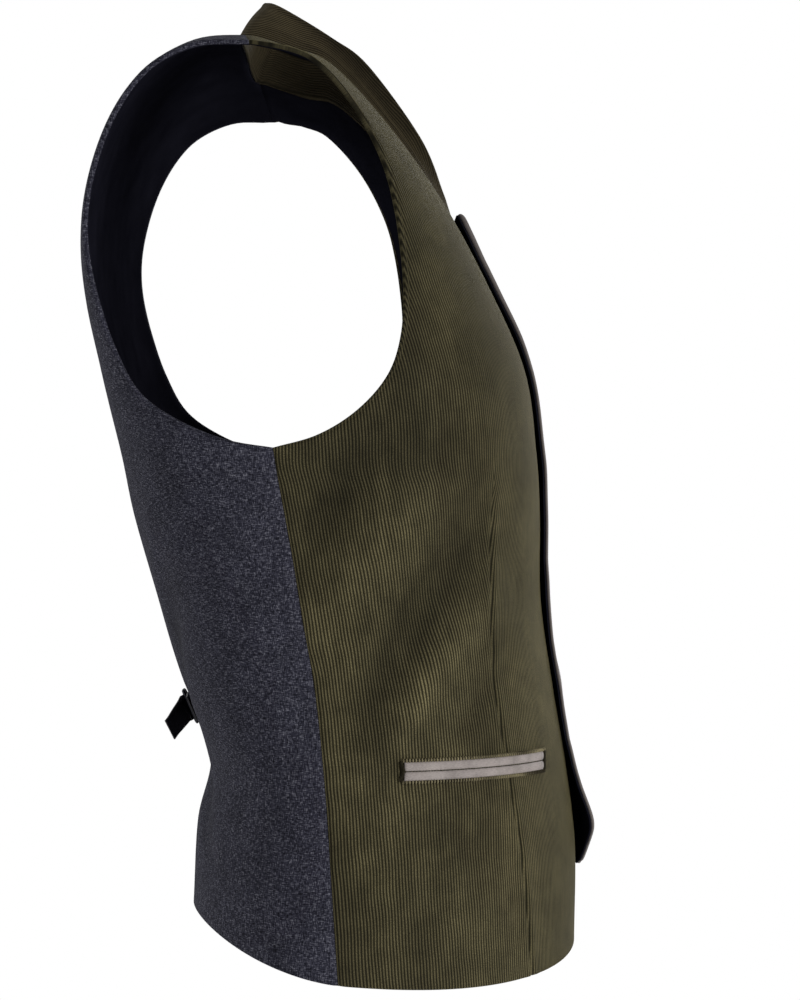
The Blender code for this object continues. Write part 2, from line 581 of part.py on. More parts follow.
def slider():
    """Flat rectangular ring that lies on the strap at the centre back."""
    at = place_of(np.array([[0.0, STRAP_Z]]), [0, 2], True)
    middle, normal = form(at[0, 0], at[0, 1], True), outward(at[0, 0], at[0, 1], True)
    upward = np.cross(normal, [1.0, 0.0, 0.0])
    half_opening = np.array([SLIDER_OPENING / 2, STRAP_WIDTH / 2 + GAP])
    points = []
    for lift in (SLIDER_LIFT, SLIDER_LIFT + SLIDER_THICKNESS):
        for half in (half_opening + SLIDER_BAR, half_opening):
            for across, along in ((-1, -1), (1, -1), (1, 1), (-1, 1)):
                points.append(middle + normal * lift + np.array([1.0, 0, 0]) * across * half[0]
                              + upward * along * half[1])
    faces = []
    for i in range(4):
        j = (i + 1) % 4
        faces += [(i, j, 4 + j, 4 + i), (8 + i, 8 + j, 12 + j, 12 + i),
                  (i, j, 8 + j, 8 + i), (4 + i, 4 + j, 12 + j, 12 + i)]
    solid("strap_slider", np.array(points), faces, METAL)


# ---- the vest --------------------------------------------------------------------------------------------

for old in list(bpy.data.objects):
    bpy.data.objects.remove(old)
for hand in ("right", "left"):
    front(hand)
    pocket(hand)
back()
collar()
flap()
strap("strap_left", STRAP_LEFT)
strap("strap_right", STRAP_RIGHT)
slider()
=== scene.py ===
"""Looks of the corduroy vest, as worn: olive corduroy fronts and collar band, a melange wool back,
satin linings, a taupe front flap with a navy underside, jetted pockets and a back strap.

Metres, +Z up, the front towards -Y, the wearer's right side towards -X. The origin lies midway
between the neck ends of the two shoulder seams.
"""

import bpy
import numpy as np
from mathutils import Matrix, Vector


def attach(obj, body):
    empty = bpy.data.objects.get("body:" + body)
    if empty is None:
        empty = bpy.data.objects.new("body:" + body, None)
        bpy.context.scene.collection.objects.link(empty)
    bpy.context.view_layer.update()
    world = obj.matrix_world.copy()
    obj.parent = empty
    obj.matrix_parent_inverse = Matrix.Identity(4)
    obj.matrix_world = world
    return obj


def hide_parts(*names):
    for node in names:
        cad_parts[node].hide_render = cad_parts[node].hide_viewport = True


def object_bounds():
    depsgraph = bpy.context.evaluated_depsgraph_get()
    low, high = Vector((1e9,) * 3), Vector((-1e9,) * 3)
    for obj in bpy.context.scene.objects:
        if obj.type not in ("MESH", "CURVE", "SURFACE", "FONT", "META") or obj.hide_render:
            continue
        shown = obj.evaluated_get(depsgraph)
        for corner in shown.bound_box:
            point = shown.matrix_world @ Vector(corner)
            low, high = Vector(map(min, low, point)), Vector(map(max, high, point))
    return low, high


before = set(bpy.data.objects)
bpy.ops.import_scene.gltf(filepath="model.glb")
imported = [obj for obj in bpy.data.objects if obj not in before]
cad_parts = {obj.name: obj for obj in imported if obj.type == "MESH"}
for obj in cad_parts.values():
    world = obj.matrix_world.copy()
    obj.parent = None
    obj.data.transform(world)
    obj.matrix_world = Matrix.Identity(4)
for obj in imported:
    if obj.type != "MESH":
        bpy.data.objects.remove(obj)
cad_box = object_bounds()


# ---- The view --------------------------------------------------------------------------------------
# The photograph looks straight at the wearer's right side from 1.6 m away, level with the middle of
# the garment. It is lit softly from the front and above, on a plain pale ground.

EYE = Vector((-1.6, -0.0877, -0.2662))
FOCAL_PIXELS = 2645         # distance to the picture plane, in pixels of the 1000-pixel height
PICTURE_HEIGHT = 1000
SENSOR = 36.0

camera = bpy.data.cameras.new("camera")
camera.sensor_fit = "VERTICAL"
camera.sensor_height = SENSOR
camera.lens = SENSOR * FOCAL_PIXELS / PICTURE_HEIGHT
viewer = bpy.data.objects.new("camera", camera)
viewer.location = EYE
viewer.rotation_euler = Vector((1, 0, 0)).to_track_quat("-Z", "Y").to_euler()
bpy.context.scene.collection.objects.link(viewer)
bpy.context.scene.camera = viewer

LOOK_AT = Vector((0.0, -0.06, -0.26))
LAMPS = [
    # name, place, size, watts
    ("key from the front", (-1.5, -1.9, -0.3), 1.1, 43),
    ("fill from behind", (-1.9, 1.0, 0.4), 1.4, 8),
    ("far side", (1.7, -1.1, 0.4), 1.4, 28),
    ("far back", (1.0, 1.9, 0.7), 1.4, 22),
    ("overhead", (0.0, 0.1, 1.9), 1.4, 5),
]
for name, place, size, watts in LAMPS:
    lamp = bpy.data.lights.new(name, "AREA")
    lamp.size = size
    lamp.energy = watts
    holder = bpy.data.objects.new(name, lamp)
    holder.location = place
    holder.rotation_euler = (LOOK_AT - holder.location).to_track_quat("-Z", "Y").to_euler()
    bpy.context.scene.collection.objects.link(holder)


def node(tree, kind, values=(), **settings):
    """One shader node, with its settings; a socket is linked where its value is a socket, or else set."""
    made = tree.nodes.new("ShaderNode" + kind)
    for name, value in settings.items():
        setattr(made, name, value)
    for socket, value in dict(values).items():
        if isinstance(value, bpy.types.NodeSocket):
            tree.links.new(value, made.inputs[socket])
        else:
            made.inputs[socket].default_value = value
    return made


def ranged(tree, value, from_low, from_high, to_low, to_high, **settings):
    """One range of a value stretched to another, and held at its ends."""
    return node(tree, "MapRange", {"Value": value, "From Min": from_low, "From Max": from_high,
                                   "To Min": to_low, "To Max": to_high}, **settings).outputs[0]


def in_space(tree):
    """Where a point lies in the garment."""
    return node(tree, "TexCoord").outputs["Object"]


def mixed(tree, share, tones):
    """The first tone at share 0, the second at 1."""
    return node(tree, "MixRGB", {"Fac": share, "Color1": tones[0], "Color2": tones[1]}).outputs[0]


def paint(red, green, blue):
    """A colour as seen, 0 to 255, turned into the linear light that a shader takes."""
    seen = np.array([red, green, blue]) / 255
    return (*np.where(seen <= 0.04045, seen / 12.92, ((seen + 0.055) / 1.055) ** 2.4).tolist(), 1.0)


def finish(name, roughness, **constants):
    """A new material: itself, its tree and its shader, with constants set on the shader's own sockets."""
    made = bpy.data.materials.new(name)
    made.use_nodes = True
    shader = made.node_tree.nodes["Principled BSDF"]
    shader.inputs["Roughness"].default_value = roughness
    for socket, value in constants.items():
        shader.inputs[socket.replace("_", " ")].default_value = value
    return made, made.node_tree, shader


def coloured(tree, shader, colour, height=None, distance=0.0):
    """Gives a shader its colour, and its relief where it has one."""
    tree.links.new(colour, shader.inputs["Base Color"])
    if height is not None:
        bump = node(tree, "Bump", {"Height": height, "Distance": distance})
        tree.links.new(bump.outputs[0], shader.inputs["Normal"])


def put(name, points, faces):
    """A smooth mesh of these points and faces, as an object in the scene."""
    mesh = bpy.data.meshes.new(name)
    mesh.from_pydata(points.reshape(-1, 3).tolist(), [], faces)
    mesh.shade_smooth()
    made = bpy.data.objects.new(name, mesh)
    bpy.context.scene.collection.objects.link(made)
    return made


ROOM_LIGHT = 0.42           # the white room is darker as a light than as a backdrop
world = bpy.data.worlds.new("pale room")
world.use_nodes = True
room = world.node_tree
backdrop = room.nodes["Background"]
backdrop.inputs["Color"].default_value = (1.0, 1.0, 1.0, 1.0)
to_the_eye = node(room, "LightPath").outputs["Is Camera Ray"]
room.links.new(ranged(room, to_the_eye, 0.0, 1.0, ROOM_LIGHT, 1.0), backdrop.inputs["Strength"])
bpy.context.scene.world = world
bpy.context.scene.view_settings.view_transform = "Standard"

FLOOR_DROP = 0.30           # the floor lies this far under the hem, for the garment is held up
FLOOR_RADIUS = 1.35
FLOOR_CORNERS = 128
FADE_FROM = 0.55            # between these radii the floor melts into the white room
FADE_TO = 1.30
angle = np.linspace(0, 2 * np.pi, FLOOR_CORNERS + 1)[:-1]
floor = put("floor", np.stack([np.cos(angle) * FLOOR_RADIUS, np.sin(angle) * FLOOR_RADIUS,
                               np.full(FLOOR_CORNERS, cad_box[0][2] - FLOOR_DROP)], axis=1),
            [list(range(FLOOR_CORNERS))])
pale, tree, shader = finish("pale ground", 0.9, Specular_IOR_Level=0.0, Emission_Color=(1, 1, 1, 1))
level = node(tree, "VectorMath", {0: in_space(tree), 1: (1.0, 1.0, 0.0)}, operation="MULTIPLY")
radius = node(tree, "VectorMath", {0: level.outputs[0]}, operation="LENGTH").outputs["Value"]
fade = ranged(tree, radius, FADE_FROM, FADE_TO, 0.0, 1.0, interpolation_type="SMOOTHSTEP")
coloured(tree, shader, mixed(tree, fade, (paint(248, 248, 248), (0.0, 0.0, 0.0, 1.0))))
tree.links.new(fade, shader.inputs["Emission Strength"])
floor.data.materials.append(pale)


# ---- The two fronts --------------------------------------------------------------------------------
# Each front is cut in one piece of fine corduroy, from the shoulder to the hem, with its wales up the
# cloth and one long dart that takes in the waist. Its edges are turned in and pressed; the armhole
# edge shows the turning as a low roll with a ditch beside it.

SHELL = 0.0016              # thickness of the corduroy and of the wool
LINING = 0.0010
GAP = 0.0003                # between two cloths that touch
LINING_GAP = 0.0009         # between a panel and its lining
HEM_TURN = 0.012            # how far the lining stops short of the hem
EDGE_TURN = 0.0025          # how far it stops short of the armhole and the neckline
NECK_HALF = 0.078           # from the middle of the neck to the neck end of a shoulder seam
SHOULDER_HALF = 0.1512      # from the middle to the armhole end of a shoulder seam
WALE = 0.00181              # fourteen wales to the inch
DEPTH_UNITS = 60.0          # by which a fold's depth is multiplied in its map, round 0.5

BODY_ROWS = 76              # rows of faces from the hem to the underarm
YOKE_ROWS = 78              # rows of faces from the underarm to the shoulder seam
BREAST_ROWS = 26            # of the yoke's rows, those under the neck seam at the centre front
SIDE_COLUMNS = 46           # columns of faces between the side seam and the dart
DART_COLUMNS = 40           # columns of faces between the dart and the centre front
CROWD = 0.72                # how much closer the columns stand at an edge than on average
RIM_SWELL = 0.15            # share of a cloth's thickness by which its round edge stands out
DRAWN_WIDTH = 3             # reach of the pull on an edge, in amounts of it

# The form that the cloth lies on, ring by ring from the hem to the shoulder line: the ring's heights
# at the centre front, side and centre back, its half-width, its depths there, how square it is in
# front and behind, and how steeply it climbs backwards past the side seam.
RINGS = np.array([
    # front_z, side_z,  back_z,  half,   side_y,  front_y, back_y, square_f, square_b, tilt
    [-0.5275, -0.5300, -0.5060, 0.1640, -0.0540, -0.1925, 0.0360, 2.1, 2.1, 0.012],
    [-0.4720, -0.4740, -0.4570, 0.1590, -0.0500, -0.1930, 0.0335, 2.1, 2.1, 0.006],
    [-0.4240, -0.4250, -0.4180, 0.1515, -0.0465, -0.1876, 0.0265, 2.2, 2.2, 0.000],
    [-0.3760, -0.3760, -0.3730, 0.1510, -0.0415, -0.1795, 0.0428, 2.3, 2.3, 0.000],
    [-0.3250, -0.3250, -0.3240, 0.1575, -0.0335, -0.1722, 0.0560, 2.4, 2.5, 0.000],
    [-0.2750, -0.2750, -0.2750, 0.1660, -0.0250, -0.1714, 0.0690, 2.6, 2.8, 0.000],
    [-0.2380, -0.2380, -0.2380, 0.1715, -0.0190, -0.1690, 0.0755, 2.8, 3.2, 0.000],
    [-0.1900, -0.1940, -0.1900, 0.1730, -0.0140, -0.1622, 0.0835, 2.8, 4.8, 0.000],
    [-0.1400, -0.1500, -0.1400, 0.1735, -0.0110, -0.1405, 0.0915, 3.0, 6.2, 0.000],
    [-0.0900, -0.1070, -0.0900, 0.1740, -0.0100, -0.1130, 0.0895, 3.5, 8.0, 0.000],
    [-0.0450, -0.0670, -0.0450, 0.1750, -0.0110, -0.0805, 0.0770, 4.6, 8.0, 0.000],
    [-0.0120, -0.0360, -0.0175, 0.1765, -0.0125, -0.0500, 0.0570, 6.0, 7.0, 0.000],
    [-0.0050, -0.0235, +0.0030, 0.1775, -0.0135, -0.0300, 0.0300, 5.0, 6.0, 0.000],
    [+0.0068, -0.0224, +0.0068, 0.1780, -0.0140, +0.0030, +0.0030, 2.0, 2.0, 0.000],
])
FRONT_Z, SIDE_Z, BACK_Z, HALF, SIDE_Y, FRONT_Y, BACK_Y, SQUARE_F, SQUARE_B, TILT = range(10)
TOP_RING = len(RINGS) - 1
UNDERARM_RING = 6
FLAT_AT_TOP = [FRONT_Z, SIDE_Z, BACK_Z, HALF, SQUARE_F, SQUARE_B]

# Front armhole edge, from the underarm to the shoulder tip
ARMHOLE_FRONT = np.array([
    # x,      y,       z
    (-0.1715, -0.0190, -0.2380),
    (-0.1708, -0.0430, -0.2310),
    (-0.1688, -0.0640, -0.2180),
    (-0.1660, -0.0810, -0.1990),
    (-0.1625, -0.0890, -0.1760),
    (-0.1593, -0.0905, -0.1500),
    (-0.1566, -0.0885, -0.1280),
    (-0.1545, -0.0850, -0.1040),
    (-0.1528, -0.0785, -0.0785),
    (-0.1517, -0.0625, -0.0475),
    (-0.1513, -0.0390, -0.0252),
    (-0.1514, -0.0280, -0.0198),
    (-0.1514, -0.0180, -0.0167),
])
# Seam of the collar in the front view, from the centre front to the shoulder seam: (x, z)
NECK_SEAM_FRONT = np.array([
    (-0.0000, -0.1375), (-0.0200, -0.1280), (-0.0360, -0.1128), (-0.0445, -0.0945), (-0.0500, -0.0745),
    (-0.0560, -0.0518), (-0.0620, -0.0310), (-0.0670, -0.0165),
])
# The dart, as the share of the way from the outer edge to the centre front: (ring, share)
DART = np.array([(0.0, 0.56), (2.0, 0.50), (3.0, 0.49), (5.0, 0.52), (6.0, 0.52)])
DART_TOP_RING = 5.55
DART_TAPER = 0.8            # over this many rings it fades out
DART_CLOSING = 0.2          # how far under its top the cloth beside it starts to meet
DART_DEPTH = 0.0012         # how far the cloth is pulled in along it
DART_WIDTH = 0.0010
DART_SWELL = 0.0004         # how far it swells beside the seam
DART_SWELL_AT = 0.0040
DART_SWELL_WIDTH = 0.0022

# Drape folds in the side view, and the smaller creases between and beside them: from and to (y, z),
# half-width and depth; a negative depth is a ridge.
FOLDS = {}
FOLDS["right"] = np.array([
    # from_y,  from_z,  to_y,   to_z,    width, depth
    [-0.1330, -0.2710, -0.0660, -0.3920, 0.015, +0.0062],
    [-0.0690, -0.2440, -0.0370, -0.2920, 0.013, +0.0042],
    [-0.0960, -0.2620, -0.0460, -0.3300, 0.014, -0.0036],
    [-0.1360, -0.3150, -0.0830, -0.3950, 0.012, -0.0038],
    # creases
    [-0.1180, -0.2280, -0.0930, -0.2560, 0.0090, +0.0016],
    [-0.0800, -0.2780, -0.0560, -0.3100, 0.0070, +0.0014],
    [-0.1480, -0.3560, -0.1180, -0.3980, 0.0080, +0.0016],
    [-0.0420, -0.4280, -0.0560, -0.4900, 0.0090, +0.0013],
    [-0.1000, -0.4560, -0.0780, -0.5060, 0.0090, -0.0013],
    [-0.1500, -0.2900, -0.1560, -0.3350, 0.0070, +0.0012],
    [-0.1120, -0.3560, -0.0840, -0.4060, 0.0065, -0.0010],
    [-0.0600, -0.3300, -0.0420, -0.3720, 0.0080, +0.0010],
    [-0.1060, -0.4430, -0.1370, -0.4620, 0.0090, +0.0012],
    [-0.1340, -0.4560, -0.1230, -0.4930, 0.0080, +0.0010],
    [-0.1520, -0.3830, -0.1720, -0.3850, 0.0030, -0.0006],
    [-0.0640, -0.4440, -0.0880, -0.4760, 0.0100, -0.0010],
    [-0.1050, -0.2050, -0.1180, -0.2500, 0.0110, +0.0010],
])
FOLDS["left"] = np.array([
    # from_y,  from_z,  to_y,   to_z,    width, depth
    [-0.1250, -0.2620, -0.0720, -0.3800, 0.016, +0.0056],
    [-0.0630, -0.2520, -0.0420, -0.3020, 0.012, +0.0036],
    [-0.0900, -0.2700, -0.0520, -0.3420, 0.015, -0.0034],
    [-0.1400, -0.3300, -0.0930, -0.3980, 0.011, -0.0034],
    # creases
    [-0.1140, -0.2320, -0.0900, -0.2620, 0.0090, +0.0015],
    [-0.0760, -0.2820, -0.0580, -0.3140, 0.0080, +0.0012],
    [-0.1440, -0.3620, -0.1200, -0.4000, 0.0080, +0.0015],
    [-0.0960, -0.4600, -0.0800, -0.5020, 0.0100, -0.0013],
    [-0.1480, -0.2820, -0.1520, -0.3300, 0.0080, +0.0011],
    [-0.1050, -0.3500, -0.0790, -0.4000, 0.0070, -0.0011],
    [-0.0570, -0.3360, -0.0450, -0.3700, 0.0080, +0.0009],
    [-0.1120, -0.4480, -0.1420, -0.4640, 0.0090, +0.0011],
    [-0.0700, -0.4480, -0.0930, -0.4820, 0.0090, -0.0009],
    [-0.1020, -0.2100, -0.1160, -0.2560, 0.0100, +0.0011],
])
FOLD_END = 0.12             # how far along half a sine wave a fold starts, and ends


def smooth(rows, at, flat_at_end=()):
    """The table's columns at a row number that need not be whole, by cubic steps through its rows."""
    last = len(rows) - 1
    at = np.clip(at, 0, last)
    slope = np.gradient(rows, axis=0)
    slope[last, list(flat_at_end)] = 0.0
    low = np.minimum(at.astype(int), last - 1)
    t = (at - low)[..., None]
    return (rows[low] * (1 + 2 * t) * (1 - t) ** 2 + slope[low] * t * (1 - t) ** 2
            + rows[low + 1] * t ** 2 * (3 - 2 * t) + slope[low + 1] * t ** 2 * (t - 1))


def form(turn, ring, behind):
    """Point of the right half: a ring is a quarter superellipse, turn 0 at the side, 1 at the centre."""
    turn, ring = np.broadcast_arrays(turn, ring)
    v = smooth(RINGS, ring, FLAT_AT_TOP)
    reach, height, power = (BACK_Y, BACK_Z, SQUARE_B) if behind else (FRONT_Y, FRONT_Z, SQUARE_F)
    power = v[..., power]
    across, along = np.abs(np.cos(turn * np.pi / 2)), np.abs(np.sin(turn * np.pi / 2))
    scale = (across ** power + along ** power) ** (-1 / power)
    across, along = across * scale, along * scale
    climb = v[..., TILT] * across * along * (1 if behind else -1)
    return np.stack([-v[..., HALF] * across,
                     v[..., SIDE_Y] + (v[..., reach] - v[..., SIDE_Y]) * along,
                     v[..., height] + (v[..., SIDE_Z] - v[..., height]) * across ** 2 + climb], axis=-1)


def unit(vectors):
    """The same directions, one long."""
    return vectors / np.linalg.norm(vectors, axis=-1, keepdims=True)


def lengths(points, axis=0):
    """Length along a line of points, or along each line of a grid, from its start to every point."""
    steps = np.linalg.norm(np.diff(points, axis=axis), axis=-1)
    return np.insert(np.cumsum(steps, axis=axis), 0, 0.0, axis=axis)


def outward(turn, ring, behind):
    """Unit normal of the form: the cross product of small steps round it and up it."""
    small = 1e-3
    turn, ring = np.clip(turn, small, 1 - small), np.clip(ring, small, TOP_RING - small)
    across = form(turn + small, ring, behind) - form(turn - small, ring, behind)
    upward = form(turn, ring + small, behind) - form(turn, ring - small, behind)
    return unit(np.cross(across, upward) * (-1 if behind else 1))


SEARCH_ROUNDS = 6
SEARCH_GRID = np.linspace(-1, 1, 61)
SEARCH_NARROWS = 8          # how much smaller the searched part is in each round


def place_of(points, axes, behind, lowest=0):
    """Turn and ring of the place nearest to each point, by the given axes: a grid search that narrows."""
    found = []
    for point in points:
        centre = np.array([0.5, (TOP_RING + lowest) / 2])
        reach = np.array([0.5, (TOP_RING - lowest) / 2])
        for _ in range(SEARCH_ROUNDS):
            turn = np.clip(centre[0] + SEARCH_GRID * reach[0], 0, 1)
            ring = np.clip(centre[1] + SEARCH_GRID * reach[1], lowest, TOP_RING)
            turn, ring = np.meshgrid(turn, ring)
            miss = np.linalg.norm(form(turn, ring, behind)[..., axes] - point, axis=-1)
            centre = np.array([turn.flat[miss.argmin()], ring.flat[miss.argmin()]])
            reach = reach / SEARCH_NARROWS
        found.append(centre)
    return np.array(found)


PATH_POINTS = 2000          # of a path, before it is cut


def crowded(columns):
    """Shares from 0 to 1 that stand closer at both ends: s less a part of a sine wave of s."""
    s = np.linspace(0, 1, columns + 1)
    return s - CROWD * np.sin(2 * np.pi * s) / (2 * np.pi)


def cut_at(path, shares, behind):
    """A path given by its corners in turn and ring, rounded, and cut at these shares of its real length."""
    fine = smooth(path, np.linspace(0, len(path) - 1, PATH_POINTS))
    number = np.arange(PATH_POINTS)
    length = lengths(form(fine[:, 0], fine[:, 1], behind))
    at = np.interp(np.asarray(shares) * length[-1], length, number)
    return np.stack([np.interp(at, number, fine[:, i]) for i in (0, 1)], axis=1)


def end_to_end(*paths):
    """Paths joined where one starts at the end of the last."""
    return np.concatenate([paths[0]] + [path[1:] for path in paths[1:]])


def shoulder_turn(x):
    """Turn of a place on the shoulder line at this distance from the middle."""
    return np.arccos(x / RINGS[TOP_RING, HALF]) / (np.pi / 2)


SHOULDER_TIP = [shoulder_turn(SHOULDER_HALF), TOP_RING]
SHOULDER_NECK = [shoulder_turn(NECK_HALF), TOP_RING]


def outer_edge(behind, armhole_points):
    """Side seam and armhole of a panel, from the hem to the shoulder tip, in turn and ring."""
    side = cut_at(np.array([[0.0, 0.0], [0.0, UNDERARM_RING]]), np.linspace(0, 1, BODY_ROWS + 1), behind)
    armhole = place_of(armhole_points[1:], [0, 1, 2], behind)
    armhole = np.concatenate([[[0.0, UNDERARM_RING]], armhole, [SHOULDER_TIP]])
    return end_to_end(side, cut_at(armhole, np.linspace(0, 1, YOKE_ROWS + 1), behind))


def front_edge():
    """Centre front and neck seam of a front, from the hem to the shoulder seam, in turn and ring."""
    seam = place_of(NECK_SEAM_FRONT, [0, 2], False)
    seam[0, 0] = 1.0
    paths = ((np.array([[1.0, 0.0], [1.0, UNDERARM_RING]]), BODY_ROWS),
             (np.array([[1.0, UNDERARM_RING], seam[0]]), BREAST_ROWS),
             (np.concatenate([seam, [SHOULDER_NECK]]), YOKE_ROWS - BREAST_ROWS))
    return end_to_end(*(cut_at(path, np.linspace(0, 1, rows + 1), False) for path, rows in paths))


def front_places():
    """Turn and ring of every corner of a front: rows are ruled across it, and one column is the dart."""
    outer, inner = outer_edge(False, ARMHOLE_FRONT), front_edge()
    ring = 0.5 * (outer[:, 1] + inner[:, 1])
    share = np.interp(ring, DART[:, 0], DART[:, 1])
    dart = np.stack([outer[:, 0] + share * (inner[:, 0] - outer[:, 0]), ring], axis=1)
    side, fore = crowded(SIDE_COLUMNS)[:, None], crowded(DART_COLUMNS)[1:, None]
    return np.concatenate([outer[:, None] * (1 - side) + dart[:, None] * side,
                           dart[:, None] * (1 - fore) + inner[:, None] * fore], axis=1)


def hollows(points, folds, axes):
    """How deep the cloth is pressed in: a fold is a bell curve across a line, fading at the line's ends."""
    depth = np.zeros(points.shape[:-1])
    for start_a, start_z, end_a, end_z, width, deep in folds:
        start, along = np.array([start_a, start_z]), np.array([end_a - start_a, end_z - start_z])
        away = points[..., axes] - start
        share = np.clip((away @ along) / (along @ along), 0, 1)
        off = np.linalg.norm(away - share[..., None] * along, axis=-1)
        fading = np.sin(np.pi * (FOLD_END + (1 - 2 * FOLD_END) * share))
        depth += deep * np.exp(-(off / width) ** 2) * fading
    return depth


def bell(distance, middle, width):
    """A bell curve of the distance, 1 at its middle."""
    return np.exp(-((distance - middle) / width) ** 2)


TURN_STEPS = 400            # of the table of lengths, from the side to the centre
RING_STEPS = 8              # of the same table, between two rings
ARC_TURNS = np.linspace(0, 1, TURN_STEPS + 1)
ARC_RINGS = np.linspace(0, TOP_RING, RING_STEPS * TOP_RING + 1)


def round_ring(turn, ring, behind):
    """Length along a ring from the side to a turn: the added steps, read between a table's nearest four."""
    table = lengths(form(*np.meshgrid(ARC_TURNS, ARC_RINGS), behind), axis=1)
    turn, ring = np.broadcast_arrays(turn, ring)
    i = np.clip(ring * RING_STEPS, 0, len(ARC_RINGS) - 1.001)
    j = np.clip(turn * TURN_STEPS, 0, TURN_STEPS - 0.001)
    low_i, low_j = i.astype(int), j.astype(int)
    u, v = i - low_i, j - low_j
    return (table[low_i, low_j] * (1 - u) * (1 - v) + table[low_i, low_j + 1] * (1 - u) * v
            + table[low_i + 1, low_j] * u * (1 - v) + table[low_i + 1, low_j + 1] * u * v)


def up_rings(ring, behind):
    """Length up the form from the hem to a ring, half-way between the side and the centre."""
    return np.interp(ring, ARC_RINGS, lengths(form(np.full(len(ARC_RINGS), 0.5), ARC_RINGS, behind)))


def front_grain(places):
    """Where each corner lies in the flat cloth: measured from the side seam beside the dart's outer side,
    and from the centre front beyond it; above the dart the two meet."""
    turn, ring = places[..., 0], places[..., 1]
    from_side = round_ring(turn, ring, False)
    whole = round_ring(1.0, ring, False)
    fore = round_ring(1.0, np.array(float(UNDERARM_RING)), False) - (whole - from_side)
    meet = np.clip((ring - DART_TOP_RING + DART_CLOSING) / DART_TAPER, 0, 1)
    meet = meet * meet * (3 - 2 * meet)
    side = from_side * (1 - meet) + fore * meet
    up = up_rings(ring, False)
    return np.stack([side, up], axis=-1), np.stack([fore, up], axis=-1)


def wall(name, outer, inner, grain, grain_beyond=None, beyond=0, depth=None):
    """A closed cloth: an outer and an inner grid, and between their rims a loop pushed out so that the
    edge is round. Faces past the column called beyond take the second grain. A second map holds the
    depth of the folds."""
    rows, columns = outer.shape[:2]
    number = np.arange(rows * columns).reshape(rows, columns)
    rim = np.concatenate([number[0, :-1], number[:-1, -1], number[-1, :0:-1], number[:0:-1, 0]])
    flat_outer, flat_inner = outer.reshape(-1, 3), inner.reshape(-1, 3)
    inside = np.concatenate([number[1, :-1], number[:-1, -2], number[-2, :0:-1], number[:0:-1, 1]])
    push = unit(flat_outer[rim] - flat_outer[inside])
    thick = np.linalg.norm(flat_outer[rim] - flat_inner[rim], axis=1, keepdims=True)
    middle = (flat_outer[rim] + flat_inner[rim]) / 2 + push * thick * RIM_SWELL
    count = rows * columns
    a, b, c, d = number[:-1, :-1], number[:-1, 1:], number[1:, 1:], number[1:, :-1]
    face = np.stack([a, b, c, d], axis=-1).reshape(-1, 4)
    loop = 2 * count + np.arange(len(rim))
    following, loop_following = np.roll(rim, -1), np.roll(loop, -1)
    sides = np.concatenate([np.stack([following, rim, loop, loop_following], axis=1),
                            np.stack([loop_following, loop, rim + count, following + count], axis=1)])
    faces = np.concatenate([face, face[:, ::-1] + count, sides])
    points = np.concatenate([flat_outer, flat_inner, middle])
    p, q, r = points[faces[:, 0]], points[faces[:, 1]], points[faces[:, 2]]
    if np.einsum("ij,ij->i", p, np.cross(q, r)).sum() < 0:
        faces = faces[:, ::-1]
    made = put(name, points, faces.tolist())
    at_corner = faces.ravel()

    def spread_over(values):
        """A grid's values at every corner of every face."""
        values = values.reshape(count, -1)
        return np.concatenate([values, values, values[rim]])[at_corner]

    uv = spread_over(grain)
    if grain_beyond is not None:
        column = np.tile(np.arange(columns - 1), rows - 1) >= beyond
        past = np.concatenate([column, column, np.tile(rim % columns >= beyond, 2)])
        uv = np.where(np.repeat(past, 4)[:, None], spread_over(grain_beyond), uv)
    made.data.uv_layers.new(name="grain").data.foreach_set("uv", uv.astype(np.float32).ravel())
    # The folds' depth is kept for the materials, which paint shade into the troughs and light onto the
    # ridges.
    if depth is not None:
        deep = 0.5 + spread_over(depth) * DEPTH_UNITS
        deep = np.concatenate([deep, np.full(deep.shape, 0.5)], axis=1)
        made.data.uv_layers.new(name="hollow").data.foreach_set("uv", deep.astype(np.float32).ravel())
    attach(made, "root")
    return made


def dress(made, cloth_material, replaced, slot, **cut):
    """Gives a piece its material and hides the solid that it stands for; the slot and the cut are not used.
    """
    made.data.materials.append(cloth_material)
    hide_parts(replaced)


def drawn_in(grid, low, high, first, last):
    """The grid with each edge moved in by its amount, and the lines beside it with it, less and less: every
    corner slides along its own line of corners by a bell curve of its way from the edge."""
    grid = grid.copy()
    for axis, ends in ((0, (low, high)), (1, (first, last))):
        for lines, amounts in zip((np.moveaxis(grid, axis, 0), np.moveaxis(grid, axis, 0)[::-1]), ends):
            amounts = np.broadcast_to(np.reshape(amounts, (-1,)), lines.shape[1:2])
            length = lengths(lines)
            steps = np.diff(length, axis=0)
            moved = length + amounts * bell(length, 0, DRAWN_WIDTH * amounts + 1e-9)
            at = np.clip((length[None] <= moved[:, None]).sum(axis=1) - 1, 0, len(steps) - 1)
            share = (moved - np.take_along_axis(length, at, 0)) / np.take_along_axis(steps, at, 0)
            share = np.clip(share, 0, 1)[..., None]
            here = np.take_along_axis(lines, at[..., None], 0)
            lines[:] = here * (1 - share) + np.take_along_axis(lines, at[..., None] + 1, 0) * share
    return grid


WALE_TOP = paint(85, 79, 56)
# The groove's tone is darker for the shade that falls down between the wales: painted shade.
WALE_GROOVE_SHADED = paint(20, 18, 9)
WALE_DRIFT = 0.0010         # how far the wales stray sideways
RIB_HEIGHT = 0.00038
WALE_NARROWING = 1.25       # power that makes the grooves wider than the ribs
FOLD_LEAN = 0.50            # how far the patches of nap lean, in radians
PAINTED_SHADE_FROM, PAINTED_SHADE_TO = -0.330, -0.040   # the heights between which painted shade comes over the corduroy
PAINTED_SHADE_ABOVE = 0.52            # and how dark the painted shade makes it above them
PAINTED_SHADE_DEPTH = 0.004           # depth of a fold at which its painted shade is darkest


def maths(tree, operation, *values, clamp=False):
    """The result of an operation on sockets or numbers."""
    return node(tree, "Math", enumerate(values), operation=operation, use_clamp=clamp).outputs[0]


